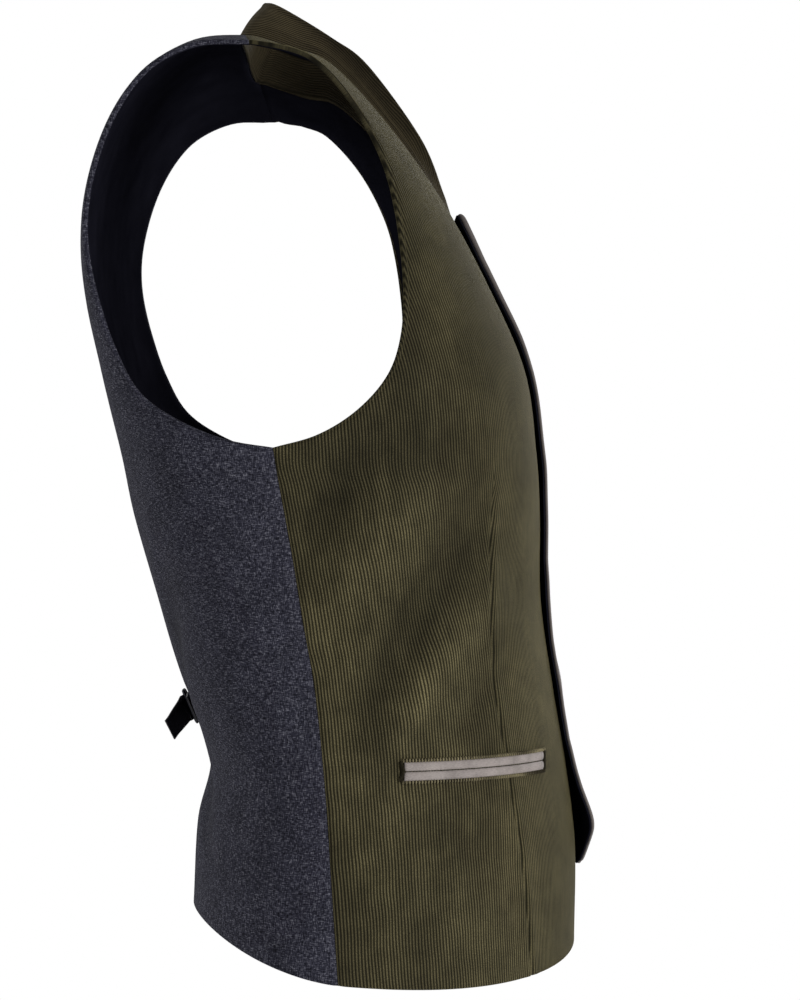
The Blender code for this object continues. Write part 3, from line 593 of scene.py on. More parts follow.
def product(tree, *factors):
    """All the factors multiplied, one after the other."""
    whole = factors[0]
    for factor in factors[1:]:
        whole = maths(tree, "MULTIPLY", whole, factor)
    return whole


def noise(tree, at, scale, detail, **values):
    """A cloud of noise, from 0 to 1, over these coordinates."""
    values = {"Vector": at, "Scale": scale, "Detail": detail, **values}
    return node(tree, "TexNoise", values).outputs["Fac"]


def drawn_out(tree, at, scale, rotation=(0.0, 0.0, 0.0)):
    """Coordinates scaled and turned, for a noise that is longer one way."""
    return node(tree, "Mapping", {"Vector": at, "Scale": scale, "Rotation": rotation}).outputs[0]


def in_cloth(tree):
    """Where a point lies in its piece's own flat cloth."""
    return node(tree, "UVMap", uv_map="grain").outputs["UV"]


def shaded(tree, colour, by):
    """A colour made lighter or darker by a factor."""
    return node(tree, "VectorMath", {0: colour, "Scale": by}, operation="SCALE").outputs[0]


def spread(tree, cloud, low, high):
    """A noise that lies mostly between 0.3 and 0.7, stretched to run from low to high."""
    return ranged(tree, cloud, 0.3, 0.7, low, high)


def painted_shade_in_folds(tree, dark, light):
    """Painted shade in a trough and painted light on a ridge: darker and lighter by the map of the folds'
    depth.
    """
    hollow = node(tree, "UVMap", uv_map="hollow").outputs["UV"]
    deep = node(tree, "SeparateXYZ", {"Vector": hollow}).outputs["X"]
    reach = PAINTED_SHADE_DEPTH * DEPTH_UNITS
    return ranged(tree, deep, 0.5 - reach, 0.5 + reach, light, dark)


def corduroy(name, tones, folded=False, **constants):
    """Wales as a sine of the way across the grain, with uneven wear, with pile, and with three sizes of
    patches where the nap lies differently; the largest run aslant, as the drape folds do. Painted shade
    darkens it high up, and in the folds painted shade darkens a trough and painted light lightens a
    ridge. The tones are those of a groove, darker for painted shade down in it, and of a wale's top."""
    made, tree, shader = finish(name, 0.90, **constants)
    grain, place = in_cloth(tree), in_space(tree)
    drift = ranged(tree, noise(tree, place, 38.0, 1.0), 0.0, 1.0, -WALE_DRIFT, WALE_DRIFT)
    across = maths(tree, "ADD", node(tree, "SeparateXYZ", {"Vector": grain}).outputs["X"], drift)
    wave = maths(tree, "SINE", maths(tree, "MULTIPLY", across, 2 * np.pi / WALE))
    rib = ranged(tree, wave, -1.0, 1.0, 0.0, 1.0)
    pile = noise(tree, drawn_out(tree, grain, (1500.0, 1500.0, 1.0)), 1.0, 3.0, Roughness=0.7)
    streak = noise(tree, drawn_out(tree, grain, (420.0, 30.0, 1.0)), 1.0, 2.0)
    mottle = noise(tree, place, 85.0, 3.0)
    nap = noise(tree, place, 30.0, 4.0)
    patch = noise(tree, drawn_out(tree, place, (9.0, 24.0, 8.0), (FOLD_LEAN, 0.0, 0.0)), 1.0, 3.0)
    narrow = maths(tree, "POWER", rib, WALE_NARROWING)
    ridge = maths(tree, "MULTIPLY", narrow, spread(tree, pile, 0.22, 1.42), clamp=True)
    height = node(tree, "SeparateXYZ", {"Vector": place}).outputs["Z"]
    # Random tone of the nap, times painted shade high up, and on folded pieces painted shade in the troughs
    # and painted light on the ridges.
    tone_and_painted_shade = product(tree, spread(tree, streak, 0.86, 1.14), spread(tree, mottle, 0.80, 1.20),
                   spread(tree, nap, 0.82, 1.18), spread(tree, patch, 0.76, 1.26),
                   ranged(tree, height, PAINTED_SHADE_FROM, PAINTED_SHADE_TO, 1.0, PAINTED_SHADE_ABOVE))
    if folded:
        tone_and_painted_shade = product(tree, tone_and_painted_shade, painted_shade_in_folds(tree, 0.58, 1.42))
    relief = maths(tree, "MULTIPLY_ADD", pile, 0.3, rib)
    coloured(tree, shader, shaded(tree, mixed(tree, ridge, tones), tone_and_painted_shade), relief, RIB_HEIGHT)
    return made


THREAD_HEIGHT = 0.0001


def two_toned(name, roughness, tones, cloud=None, threads=None, **constants):
    """A material whose tones change with a cloud of noise, given by its scale and detail, or else with its
    threads: a noise drawn out along the cloth, which also raises it a little."""
    made, tree, shader = finish(name, roughness, **constants)
    thread = noise(tree, drawn_out(tree, in_cloth(tree), threads), 1.0, 1.0) if threads else None
    share = noise(tree, in_space(tree), *cloud) if cloud else thread
    coloured(tree, shader, mixed(tree, share, tones), thread, THREAD_HEIGHT)
    return made


olive = corduroy("olive corduroy", (WALE_GROOVE_SHADED, WALE_TOP), folded=True, Sheen_Weight=0.14,
                 Sheen_Roughness=0.45, Sheen_Tint=paint(200, 188, 132), Specular_IOR_Level=0.10)
navy = two_toned("navy satin", 0.60, (paint(12, 12, 18), paint(27, 27, 35)), cloud=(45.0, 3.0),
                 threads=(2600.0, 500.0, 1.0), Specular_IOR_Level=0.0)


def cloth(places, behind, side, out=0.0):
    """Points and normals of the cloth's outer face at these places, with its folds pressed in, and their
    depth."""
    turn, ring = places[..., 0], places[..., 1]
    points, normals = form(turn, ring, behind), outward(turn, ring, behind)
    if side == "left":
        points, normals = points * [-1, 1, 1], normals * [-1, 1, 1]
    depth = hollows(points, FOLDS["back" if behind else side], [0, 2] if behind else [1, 2])
    return points + normals * (out - depth)[..., None], normals, depth


def seam_then(seam, edge):
    """Amounts down an outer edge: one along the side seam, another along the armhole."""
    return np.array([seam] * (BODY_ROWS + 1) + [edge] * YOKE_ROWS)


ROLL = 0.0007               # height of the roll along a turned edge
ROLL_AT = 0.0014            # how far it runs from the edge
ROLL_WIDTH = 0.0010
DITCH = 0.0004              # depth of the ditch beside it
DITCH_AT = 0.0030
DITCH_WIDTH = 0.0011
ROLL_STARTS = 2             # rows over which roll and ditch begin above the underarm
ROLL_ENDS = 6               # and those over which they end under the shoulder
LINING_SEWN = 0.0040        # over this way from its edges the lining comes up to the cloth
LINING_CLOSED = 0.85        # share of the gap that closes there
SEAM_DROP = 0.0013          # how far both cloths sink along a seam
SEAM_WIDTH = 0.0019
CENTRE_DROP = 0.6           # share of that drop at the centre front and the neck


def edge_relief(points):
    """Roll and ditch along the armhole, the first column from the underarm up: bell curves of the way
    from the edge."""
    way = np.linalg.norm(points - points[:, :1], axis=-1)
    row = np.arange(len(points))
    blend = np.clip(np.minimum((row - BODY_ROWS) / ROLL_STARTS, row[::-1] / ROLL_ENDS), 0, 1)[:, None]
    return (ROLL * bell(way, ROLL_AT, ROLL_WIDTH) - DITCH * bell(way, DITCH_AT, DITCH_WIDTH)) * blend


def lining_drop(points):
    """How deep the lining lies under the cloth's face: the gap closes, by a bell curve of the way from the
    edge, along the armhole and the neck."""
    near = 0.0
    for edge in (points[:, :1], points[:, -1:]):
        near = np.maximum(near, bell(np.linalg.norm(points - edge, axis=-1), 0, LINING_SEWN))
    near[:BODY_ROWS] = 0.0
    return SHELL + LINING_GAP * (1 - LINING_CLOSED * near)


def seam_relief(points, row_to):
    """How far the cloth sinks along the first column, up to one row: a bell curve of the way from it."""
    way = np.linalg.norm(points - points[:, :1], axis=-1)
    return -SEAM_DROP * bell(way, 0, SEAM_WIDTH) * (np.arange(len(points)) <= row_to)[:, None]


FRONT_CUT = {"flat": (0.300, 0.590), "area": 0.118, "held": "stretched"}
for side in ("right", "left"):
    places = front_places()
    points, normals, depth = cloth(places, False, side)
    relief = edge_relief(points) + seam_relief(points, BODY_ROWS)
    relief += seam_relief(points[:, ::-1], len(points))[:, ::-1] * CENTRE_DROP
    taper = np.clip((DART_TOP_RING - places[:, SIDE_COLUMNS, 1]) / DART_TAPER, 0, 1)[:, None]
    way = np.linalg.norm(points - points[:, SIDE_COLUMNS:SIDE_COLUMNS + 1], axis=-1)
    relief -= DART_DEPTH * bell(way, 0, DART_WIDTH) * taper
    relief += DART_SWELL * bell(way, DART_SWELL_AT, DART_SWELL_WIDTH) * taper
    face = drawn_in(points + normals * relief[..., None], 0, GAP / 2, seam_then(GAP / 2, 0), GAP / 2)
    grain_side, grain_fore = front_grain(places)
    dress(wall(f"corduroy_front_{side}", face, points - normals * (SHELL + DART_DEPTH / 2),
               grain_side, grain_fore, SIDE_COLUMNS, depth),
          olive, f"front_{side}", "olive_corduroy", **FRONT_CUT)
    inside = drawn_in(points, HEM_TURN, 0, seam_then(0, EDGE_TURN), seam_then(EDGE_TURN, 0))
    inside -= normals * lining_drop(inside)[..., None]
    dress(wall(f"satin_lining_front_{side}", inside, inside - normals * LINING, grain_fore),
          navy, f"lining_front_{side}", "navy_satin", **FRONT_CUT)


# ---- The back --------------------------------------------------------------------------------------
# The back is one piece of dark blue-grey melange wool, sewn to the fronts at the shoulders and down
# the sides, and lined with the same navy satin, which shows inside the armholes and the neck.

BACK_COLUMNS = 64           # columns of faces from the side seam to the centre back
SHOULDER_COLUMNS = 32       # of these, those under the shoulder seam
ARMHOLE_BACK = np.array([
    # x,      y,       z
    (-0.1715, -0.0190, -0.2380),
    (-0.1710, +0.0060, -0.2337),
    (-0.1667, +0.0330, -0.2229),
    (-0.1610, +0.0560, -0.2080),
    (-0.1574, +0.0700, -0.1840),
    (-0.1550, +0.0780, -0.1560),
    (-0.1534, +0.0860, -0.1300),
    (-0.1524, +0.0870, -0.1100),
    (-0.1518, +0.0815, -0.0860),
    (-0.1514, +0.0730, -0.0605),
    (-0.1512, +0.0590, -0.0380),
    (-0.1512, +0.0460, -0.0260),
    (-0.1514, +0.0235, -0.0150),
    (-0.1515, +0.0105, -0.0143),
    (-0.1514, -0.0010, -0.0143),
])
# Seam of the collar behind, from the shoulder seam to the centre back, in the top view: (x, y)
NECK_SEAM_BACK = np.array([(-0.0740, 0.0040), (-0.0600, 0.0058), (-0.0310, 0.0063), (-0.0000, 0.0064)])
# Folds and creases in the back view: from and to (x, z), half-width and depth
FOLDS["back"] = np.array([
    # from_x,  from_z,  to_x,   to_z,    width, depth
    [-0.1150, -0.3120, -0.0300, -0.3860, 0.014, +0.0042],
    [+0.1200, -0.2980, +0.0420, -0.3800, 0.013, +0.0048],
    [-0.0900, -0.4700, -0.0260, -0.4180, 0.013, +0.0034],
    [+0.0820, -0.4780, +0.0300, -0.4200, 0.012, +0.0030],
    # creases
    [-0.1300, -0.2700, -0.0700, -0.3300, 0.0090, -0.0012],
    [+0.1280, -0.2600, +0.0800, -0.3200, 0.0080, -0.0012],
    [-0.0750, -0.4300, -0.0400, -0.4050, 0.0060, -0.0010],
    [+0.1000, -0.4400, +0.0480, -0.4080, 0.0070, -0.0011],
    [-0.1200, -0.1500, -0.0500, -0.1900, 0.0120, +0.0012],
    [+0.1150, -0.1600, +0.0550, -0.1950, 0.0110, +0.0012],
])


def back_places():
    """Turn and ring of the back's right half, from the side to the centre: a patch blended from its four
    edges."""
    outer = outer_edge(True, ARMHOLE_BACK)
    seam = place_of(NECK_SEAM_BACK, [0, 1], True, lowest=TOP_RING - 2)
    seam[-1, 0] = 1.0
    s = crowded(BACK_COLUMNS)
    t = np.linspace(0, 1, BODY_ROWS + YOKE_ROWS + 1)
    k = SHOULDER_COLUMNS
    top = end_to_end(cut_at(np.array([SHOULDER_TIP, SHOULDER_NECK]), s[:k + 1] / s[k], True),
                     cut_at(np.concatenate([[SHOULDER_NECK], seam]), (s[k:] - s[k]) / (1 - s[k]), True))
    inner = cut_at(np.array([[1.0, 0.0], seam[-1]]), t, True)
    low = cut_at(np.array([[0.0, 0.0], [1.0, 0.0]]), s, True)
    s, t = s[None, :, None], t[:, None, None]
    corners = ((1 - s) * (1 - t) * low[0] + s * (1 - t) * low[-1] + (1 - s) * t * top[0] + s * t * top[-1])
    return (1 - s) * outer[:, None] + s * inner[:, None] + (1 - t) * low[None] + t * top[None] - corners


def mirrored(right, left):
    """A grid of the right half and the left one's, joined at the centre back."""
    return np.concatenate([right, left[:, -2::-1]], axis=1)


WOOL_YARN = 0.00040         # width of a fleck
WOOL_HEIGHT = 0.00025
WOOL_TONES = [
    # place in the ramp, colour
    (0.36, (13, 13, 19)),
    (0.46, (32, 32, 41)),
    (0.54, (47, 47, 58)),
    (0.64, (98, 98, 106)),
]
wool, tree, shader = finish("blue-grey melange wool", 0.92, Specular_IOR_Level=0.08)
flecks = []
for run in ((1.0, 1.0, 0.14), (0.16, 0.16, 1.0)):   # warp, weft
    flecks.append(noise(tree, drawn_out(tree, in_space(tree), tuple(k / WOOL_YARN for k in run)), 1.0, 2.0))
weave = maths(tree, "ADD", *flecks)
tones = node(tree, "ValToRGB", {"Fac": maths(tree, "MULTIPLY", weave, 0.5)})
ramp = tones.color_ramp
while len(ramp.elements) < len(WOOL_TONES):
    ramp.elements.new(0.5)
for element, (at, tone) in zip(ramp.elements, WOOL_TONES):
    element.position = at
    element.color = paint(*tone)
# Random tone, times painted shade in the troughs of the folds and painted light on their ridges.
tone_and_painted_shade = product(tree, spread(tree, noise(tree, in_space(tree), 60.0, 3.0), 0.86, 1.14),
               painted_shade_in_folds(tree, 0.72, 1.25))
coloured(tree, shader, shaded(tree, tones.outputs[0], tone_and_painted_shade), weave, WOOL_HEIGHT)

BACK_CUT = {"flat": (0.520, 0.560), "area": 0.232, "held": "stretched"}
places = back_places()
points, normals, depth = (mirrored(*pair) for pair in zip(*(cloth(places, True, side)
                                                            for side in ("right", "left"))))
across = round_ring(1.0, places[..., 1], True) - round_ring(places[..., 0], places[..., 1], True)
up = up_rings(places[..., 1], True)
back_grain = np.stack([mirrored(across, -across), mirrored(up, up)], axis=-1)
relief = edge_relief(points) + seam_relief(points, BODY_ROWS)
turned = points[:, ::-1]
relief += (edge_relief(turned) + seam_relief(turned, BODY_ROWS))[:, ::-1]
edge = seam_then(GAP / 2, 0)
face = drawn_in(points + normals * relief[..., None], 0, GAP / 2, edge, edge)
dress(wall("wool_back", face, points - normals * (SHELL + SEAM_DROP / 2), back_grain, depth=depth),
      wool, "back", "melange_wool", **BACK_CUT)
edge = seam_then(0, EDGE_TURN)
inside = drawn_in(points, HEM_TURN, 0, edge, edge)
inside -= normals * lining_drop(inside)[..., None]
dress(wall("satin_lining_back", inside, inside - normals * LINING, back_grain),
      navy, "lining_back", "navy_satin", **BACK_CUT)


# ---- The collar band -------------------------------------------------------------------------------
# One band of the same corduroy, its wales along it, is sewn round the neck and down to the centre
# front. It stands up behind and lies back in front, slightly hollow, with a soft fold along it.

COLLAR_RIM = np.array([
    # station, x,       y,       z,       bow: how far the band is hollow between seam and rim
    [0.00, +0.0000, -0.0070, +0.0330, -0.0022],
    [0.16, -0.0300, -0.0085, +0.0285, -0.0020],
    [0.32, -0.0530, -0.0185, +0.0215, -0.0010],
    [0.44, -0.0575, -0.0480, +0.0030, +0.0010],
    [0.54, -0.0530, -0.0690, -0.0125, +0.0030],
    [0.66, -0.0380, -0.0998, -0.0530, +0.0030],
    [0.78, -0.0170, -0.1130, -0.0820, +0.0030],
    [0.90, -0.0060, -0.1160, -0.0895, +0.0022],
    [1.00, +0.0000, -0.1165, -0.0913, +0.0000],
])
COLLAR_THICKNESS = 0.0026
COLLAR_TUCK = 0.0004        # how far the band reaches under the neck seam
COLLAR_INNER_TUCK = 0.0026  # and how far its inner face does
COLLAR_ROWS = 26
COLLAR_FOLD = 0.0012        # height of the soft fold along the band
COLLAR_FOLD_AT = 0.34       # its share of the way from the seam to the rim
COLLAR_FOLD_WIDTH = 0.10
COLLAR_FOLD_ALONG = 0.72    # where it is highest, on the way from the centre back to the ends
COLLAR_FOLD_LENGTH = 0.20
COLLAR_ROLL = 0.0007        # height of the roll along the rim
COLLAR_ROLL_AT = 0.96
COLLAR_ROLL_WIDTH = 0.07

rear = back_places()[-1, SHOULDER_COLUMNS:][::-1]
fore = front_places()[::-1, -1][:YOKE_ROWS - BREAST_ROWS + 1]
seam = np.concatenate([form(rear[:, 0], rear[:, 1], True), form(fore[1:, 0], fore[1:, 1], False)])
length = lengths(seam)
row = np.interp(length / length[-1], COLLAR_RIM[:, 0], np.arange(len(COLLAR_RIM)))
rim_line = smooth(COLLAR_RIM[:, 1:4], row)
bow = smooth(COLLAR_RIM[:, 4:], row)
share = np.linspace(0, 1, COLLAR_ROWS + 1)[:, None, None]
half = seam * (1 - share) + rim_line * share
half[..., -1, 0] = 0.0
band = np.concatenate([half[:, :0:-1], half * [-1, 1, 1]], axis=1)
bow = np.concatenate([bow[:0:-1], bow])
normals = unit(np.cross(np.gradient(band, axis=0), np.gradient(band, axis=1)))
normals[:, (0, -1), 0] = 0
station = np.abs(np.linspace(-1, 1, band.shape[1]))[None, :, None]
fold = COLLAR_FOLD * bell(share, COLLAR_FOLD_AT, COLLAR_FOLD_WIDTH)
fold = fold * bell(station, COLLAR_FOLD_ALONG, COLLAR_FOLD_LENGTH)
roll = COLLAR_ROLL * bell(share, COLLAR_ROLL_AT, COLLAR_ROLL_WIDTH)
band = band + normals * (fold + roll - np.sin(np.pi * share) * bow)
band = drawn_in(band, 0, 0, GAP / 2, GAP / 2)
inner_face = band - normals * COLLAR_THICKNESS
downward = unit(band[0] - band[1])
band[0] += downward * COLLAR_TUCK
inner_face[0] += downward * COLLAR_INNER_TUCK
collar_grain = np.stack(np.broadcast_arrays(lengths(band), lengths(band[0])), axis=-1)
# A darker copy of the fronts' corduroy: darker partly for its wales running along the band, and partly as
# painted shade where the band faces the light.
shaded_band_olive = corduroy("olive corduroy along the band", (paint(30, 26, 15), paint(66, 58, 41)),
                      Sheen_Weight=0.12, Sheen_Roughness=0.45, Sheen_Tint=paint(196, 176, 130),
                      Specular_IOR_Level=0.08)
dress(wall("corduroy_collar", band, inner_face, collar_grain), shaded_band_olive, "collar", "olive_corduroy",
      flat=(0.460, 0.050), area=0.0165, held="stretched")


# ---- The front flap --------------------------------------------------------------------------------
# A taupe flap backed with navy is sewn to the wearer's left front and covers the closure. Its other
# edge is free, stands slightly off the cloth, and comes down to a blunt point.

FLAP_SEWN_X = 0.060
FLAP_POINT_X = +0.015
FLAP_FREE_X = -0.030
FLAP_THICKNESS = 0.0014
FLAP_CLEAR = 0.0008         # under its lining, along the sewn edge
FLAP_LEAST_LIFT = 0.0013    # under it at the free edge
FLAP_FREE_EDGE = np.array([
    # z,      y of the free edge
    [-0.4948, -0.2029], [-0.4609, -0.2038], [-0.4323, -0.1945], [-0.4086, -0.1883], [-0.3612, -0.1803],
    [-0.3255, -0.1767], [-0.2899, -0.1747], [-0.2425, -0.1715], [-0.1950, -0.1641], [-0.1713, -0.1576],
    [-0.1475, -0.1472], [-0.1297, -0.1395], [-0.1119, -0.1313], [-0.0957, -0.1234],
])
FLAP_OUTLINE = np.array([
    # x,     lower edge, upper edge
    [-0.030, -0.4594, -0.0967],
    [+0.015, -0.4918, -0.0979],
    [+0.060, -0.4640, -0.1010],
])
FLAP_CORNER = 0.0070        # radius of the two corners of the free edge
FLAP_BLUNT = 0.0040         # how much is rounded off its lower point
FLAP_BLUNT_WIDTH = 0.0070
FLAP_ROLL = 0.0002          # how much thicker the flap is along its free edge
FLAP_ROLL_TOP = 0.0013      # and how much more at its top end
FLAP_ROLL_WIDTH = 0.0040
# Soft ridges where the flap doesn't lie flat: from and to (x, z), half-width and depth
FLAP_RIDGES = np.array([
    # from_x,  from_z,  to_x,    to_z,    width,  depth
    [-0.0258, -0.1700, +0.0150, -0.1350, 0.0110, -0.0016],
    [-0.0272, -0.2450, +0.0309, -0.2200, 0.0130, -0.0013],
    [-0.0231, -0.3150, +0.0102, -0.2900, 0.0100, -0.0011],
    [-0.0265, -0.3780, +0.0268, -0.3620, 0.0120, -0.0014],
    [-0.0092, -0.4400, +0.0365, -0.4220, 0.0120, -0.0012],
])
FLAP_BULGE_TOP = 1.3        # power of the lift from the sewn to the free edge, at the top of the flap
FLAP_BULGE_BODY = 2.6       # the same from FLAP_BULGE_Z downwards
FLAP_BULGE_Z = -0.2000
FLAP_ROWS = 120
FLAP_HALF_COLUMNS = 18
FLAP_CROWD = 1.7            # power by which the columns crowd towards the free edge
FLAP_CUT = {"flat": (0.100, 0.398), "area": 0.036, "held": "hung"}


def front_at(x, z):
    """Depth of the fronts' outer face at one x and many heights, read off the rings' own formula."""
    v = smooth(RINGS, np.linspace(0, TOP_RING, 400), FLAT_AT_TOP)
    across = abs(x) / v[:, HALF]
    height = v[:, FRONT_Z] + (v[:, SIDE_Z] - v[:, FRONT_Z]) * across ** 2
    along = (1 - across ** v[:, SQUARE_F]) ** (1 / v[:, SQUARE_F])
    return np.interp(z, height, v[:, SIDE_Y] + (v[:, FRONT_Y] - v[:, SIDE_Y]) * along)


def flap_face(x, z):
    """Underside of the flap: it leaves the sewn edge on the cloth and lifts, by a power of the way across,
    to the free edge's depth."""
    outside = LINING + GAP + FLAP_THICKNESS
    edge = smooth(FLAP_FREE_EDGE, np.interp(z, FLAP_FREE_EDGE[:, 0], np.arange(len(FLAP_FREE_EDGE))))[:, 1]
    lift = np.maximum(front_at(FLAP_FREE_X, z) - FLAP_CLEAR - edge - outside, FLAP_LEAST_LIFT)
    share = max(FLAP_SEWN_X - x, 0.0) / (FLAP_SEWN_X - FLAP_FREE_X)
    low = np.clip((FLAP_OUTLINE[0, 2] - z) / (FLAP_OUTLINE[0, 2] - FLAP_BULGE_Z), 0, 1)
    bulge = FLAP_BULGE_TOP + (FLAP_BULGE_BODY - FLAP_BULGE_TOP) * low
    return front_at(x, z) - FLAP_CLEAR - lift * share ** bulge


def flap_grid(x, z, dx, dz):
    """The underside at every column's x and row's z, each moved by a small step."""
    x, z = x + dx, z + dz
    y = np.stack([flap_face(column, heights) for column, heights in zip(x, z.T)], axis=1)
    return np.stack([np.broadcast_to(x, z.shape), y, z], axis=-1)


share = np.linspace(0, 1, FLAP_HALF_COLUMNS + 1)
x = end_to_end(FLAP_FREE_X + (FLAP_POINT_X - FLAP_FREE_X) * share ** FLAP_CROWD,
               np.linspace(FLAP_POINT_X, FLAP_SEWN_X, FLAP_HALF_COLUMNS + 1))
corner = np.clip((FLAP_FREE_X + FLAP_CORNER - x) / FLAP_CORNER, 0, 1)
cut_off = FLAP_CORNER * (1 - np.sqrt(1 - corner ** 2))
low = np.interp(x, FLAP_OUTLINE[:, 0], FLAP_OUTLINE[:, 1]) + cut_off
low += FLAP_BLUNT * bell(x, FLAP_POINT_X, FLAP_BLUNT_WIDTH)
high = np.interp(x, FLAP_OUTLINE[:, 0], FLAP_OUTLINE[:, 2]) - cut_off
share = np.linspace(0, 1, FLAP_ROWS + 1)[:, None]
z = low * (1 - share) + high * share
small = 1e-4
under = flap_grid(x, z, 0, 0)
normals = unit(np.cross(flap_grid(x, z, small, 0) - flap_grid(x, z, -small, 0),
                        flap_grid(x, z, 0, small) - flap_grid(x, z, 0, -small)))
flap_grain = np.stack([np.broadcast_to(x, z.shape), z], axis=-1)
under = under - normals * hollows(under, FLAP_RIDGES, [0, 2])[..., None]
base = under + normals * (LINING + GAP)
near_top = np.clip((z - FLAP_BULGE_Z) / (FLAP_OUTLINE[0, 2] - FLAP_BULGE_Z), 0, 1)
flap_thick = FLAP_THICKNESS + (FLAP_ROLL + FLAP_ROLL_TOP * near_top) * bell(x, FLAP_FREE_X, FLAP_ROLL_WIDTH)

# The flap's tones are the lips' taupe satin made darker: painted shade.
FLAP_TONES_SHADED = (paint(78, 73, 71), paint(104, 97, 94))
TAUPE_THREAD_HEIGHT = 0.00012


def taupe_cloth(name, tones, cloudy):
    """Fine threads across the cloth, as a noise drawn out along them, under a slow cloudiness."""
    made, tree, shader = finish(name, 0.6, Sheen_Weight=0.12, Sheen_Roughness=0.4, Specular_IOR_Level=0.2)
    thread = noise(tree, drawn_out(tree, in_cloth(tree), (700.0, 2600.0, 1.0)), 1.0, 2.0)
    both = maths(tree, "MULTIPLY_ADD", noise(tree, in_space(tree), 90.0, 3.0), cloudy, thread)
    share = ranged(tree, both, 0.2 + cloudy / 2, 0.8 + cloudy / 2, 0.0, 1.0)
    coloured(tree, shader, mixed(tree, share, tones), thread, TAUPE_THREAD_HEIGHT)
    return made


dress(wall("taupe_flap", base + normals * flap_thick[..., None], base, flap_grain),
      taupe_cloth("taupe cloth", FLAP_TONES_SHADED, 0.25), "front_flap", "taupe_satin", **FLAP_CUT)
dress(wall("navy_flap_lining", under + normals * LINING, under, flap_grain),
      navy, "front_flap_lining", "navy_satin", **FLAP_CUT)


# ---- The pockets -----------------------------------------------------------------------------------
# A double-jetted pocket crosses each front below the waist: two folded lips of taupe satin cloth, one
# over the other, set into the corduroy with the ends tacked down.

POCKET_SIDE_Y = -0.0899
POCKET_FRONT_Y = -0.1686
POCKET_TOP = -0.4105
LIP_HEIGHT = 0.0048
LIP_THICKNESS = 0.0012
LIP_CLEAR = 0.0006
LIP_COLUMNS = 60
LIP_ROWS = 8
LIP_CROWN = 0.0007          # how far the folded lip swells in its middle
LIP_ROUNDNESS = 0.6         # power of the swell's sine wave
LIP_TONES = (paint(108, 101, 98), paint(142, 134, 130))
BORDER_SHORT = 0.0010       # how far the turned edge stops short of the lips' ends
BORDER_STEPS = 420
BORDER_RADIUS = 0.00080     # of the turned corduroy edge along the lips
BORDER_BEAD = 0.60          # how much thicker it is at each wale's end
TACK_RADIUS = 0.00110       # of the bar of thread at each end
TACK_TURN = 0.00045         # from thread to thread along the bar
TACK_BEAD = 0.25            # how much thicker it is at each thread
TACK_SHORT = 0.0006         # how far it stops short of the lips' edges
TACK_LIFT = 0.8             # its height over the cloth, in radii
TACK_STEPS = 160
TACK_END_STEPS = 8          # over which it grows from its thin end
TACK_END = 0.3              # and the share of its radius there
TACK_WAVES = 700            # of the crooked bar at the side end, in radians a metre
TACK_WAVER = 0.0006         # and how far that one sways
ROD_SIDES = 8
ROD_GRAIN = 0.0004          # width of cloth on each of them

taupe_satin = taupe_cloth("taupe satin", LIP_TONES, 1.0)
border_olive = corduroy("olive corduroy at the pocket", (paint(22, 18, 10), paint(122, 114, 88)),
                        Specular_IOR_Level=0.10)
thread = two_toned("dark olive thread", 0.8, (paint(14, 12, 7), paint(52, 47, 31)), cloud=(900.0, 2.0),
                   Specular_IOR_Level=0.15)


def rod(name, path, normals, radius, cloth_material):
    """A closed rod along a path: a circle at every point, across the path, with the given radius there."""
    across = unit(np.cross(normals, np.gradient(path, axis=0)))
    turn = np.linspace(0, 2 * np.pi, ROD_SIDES + 1)[:-1]
    circle = (np.cos(turn)[None, :, None] * normals[:, None]
              + np.sin(turn)[None, :, None] * across[:, None])
    points = path[:, None] + circle * radius[:, None, None]
    number = np.arange(len(path) * ROD_SIDES).reshape(len(path), ROD_SIDES)
    step = np.roll(number, -1, axis=1)
    sides = np.stack([number[:-1], step[:-1], step[1:], number[1:]], axis=-1).reshape(-1, 4).tolist()
    made = put(name, points, sides + [number[0, ::-1].tolist(), number[-1].tolist()])
    corner = np.zeros(len(made.data.loops), dtype=int)
    made.data.loops.foreach_get("vertex_index", corner)
    grain = np.stack([lengths(path)[corner // ROD_SIDES], (corner % ROD_SIDES) * ROD_GRAIN], axis=1)
    made.data.uv_layers.new(name="grain").data.foreach_set("uv", grain.astype(np.float32).ravel())
    made.data.materials.append(cloth_material)
    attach(made, "root")


SEARCHED = np.linspace(0, 1, 9)


def on_front(y, z, side, out):
    """Points and normals over the front along a line of y and z: few of its places are searched, and the
    rest smoothed."""
    line = smooth(np.stack([y, z], axis=1), SEARCHED * (len(y) - 1))
    few = place_of(line, [1, 2], False)
    return cloth(smooth(few, np.linspace(0, len(few) - 1, len(y))), False, side, out)[:2]


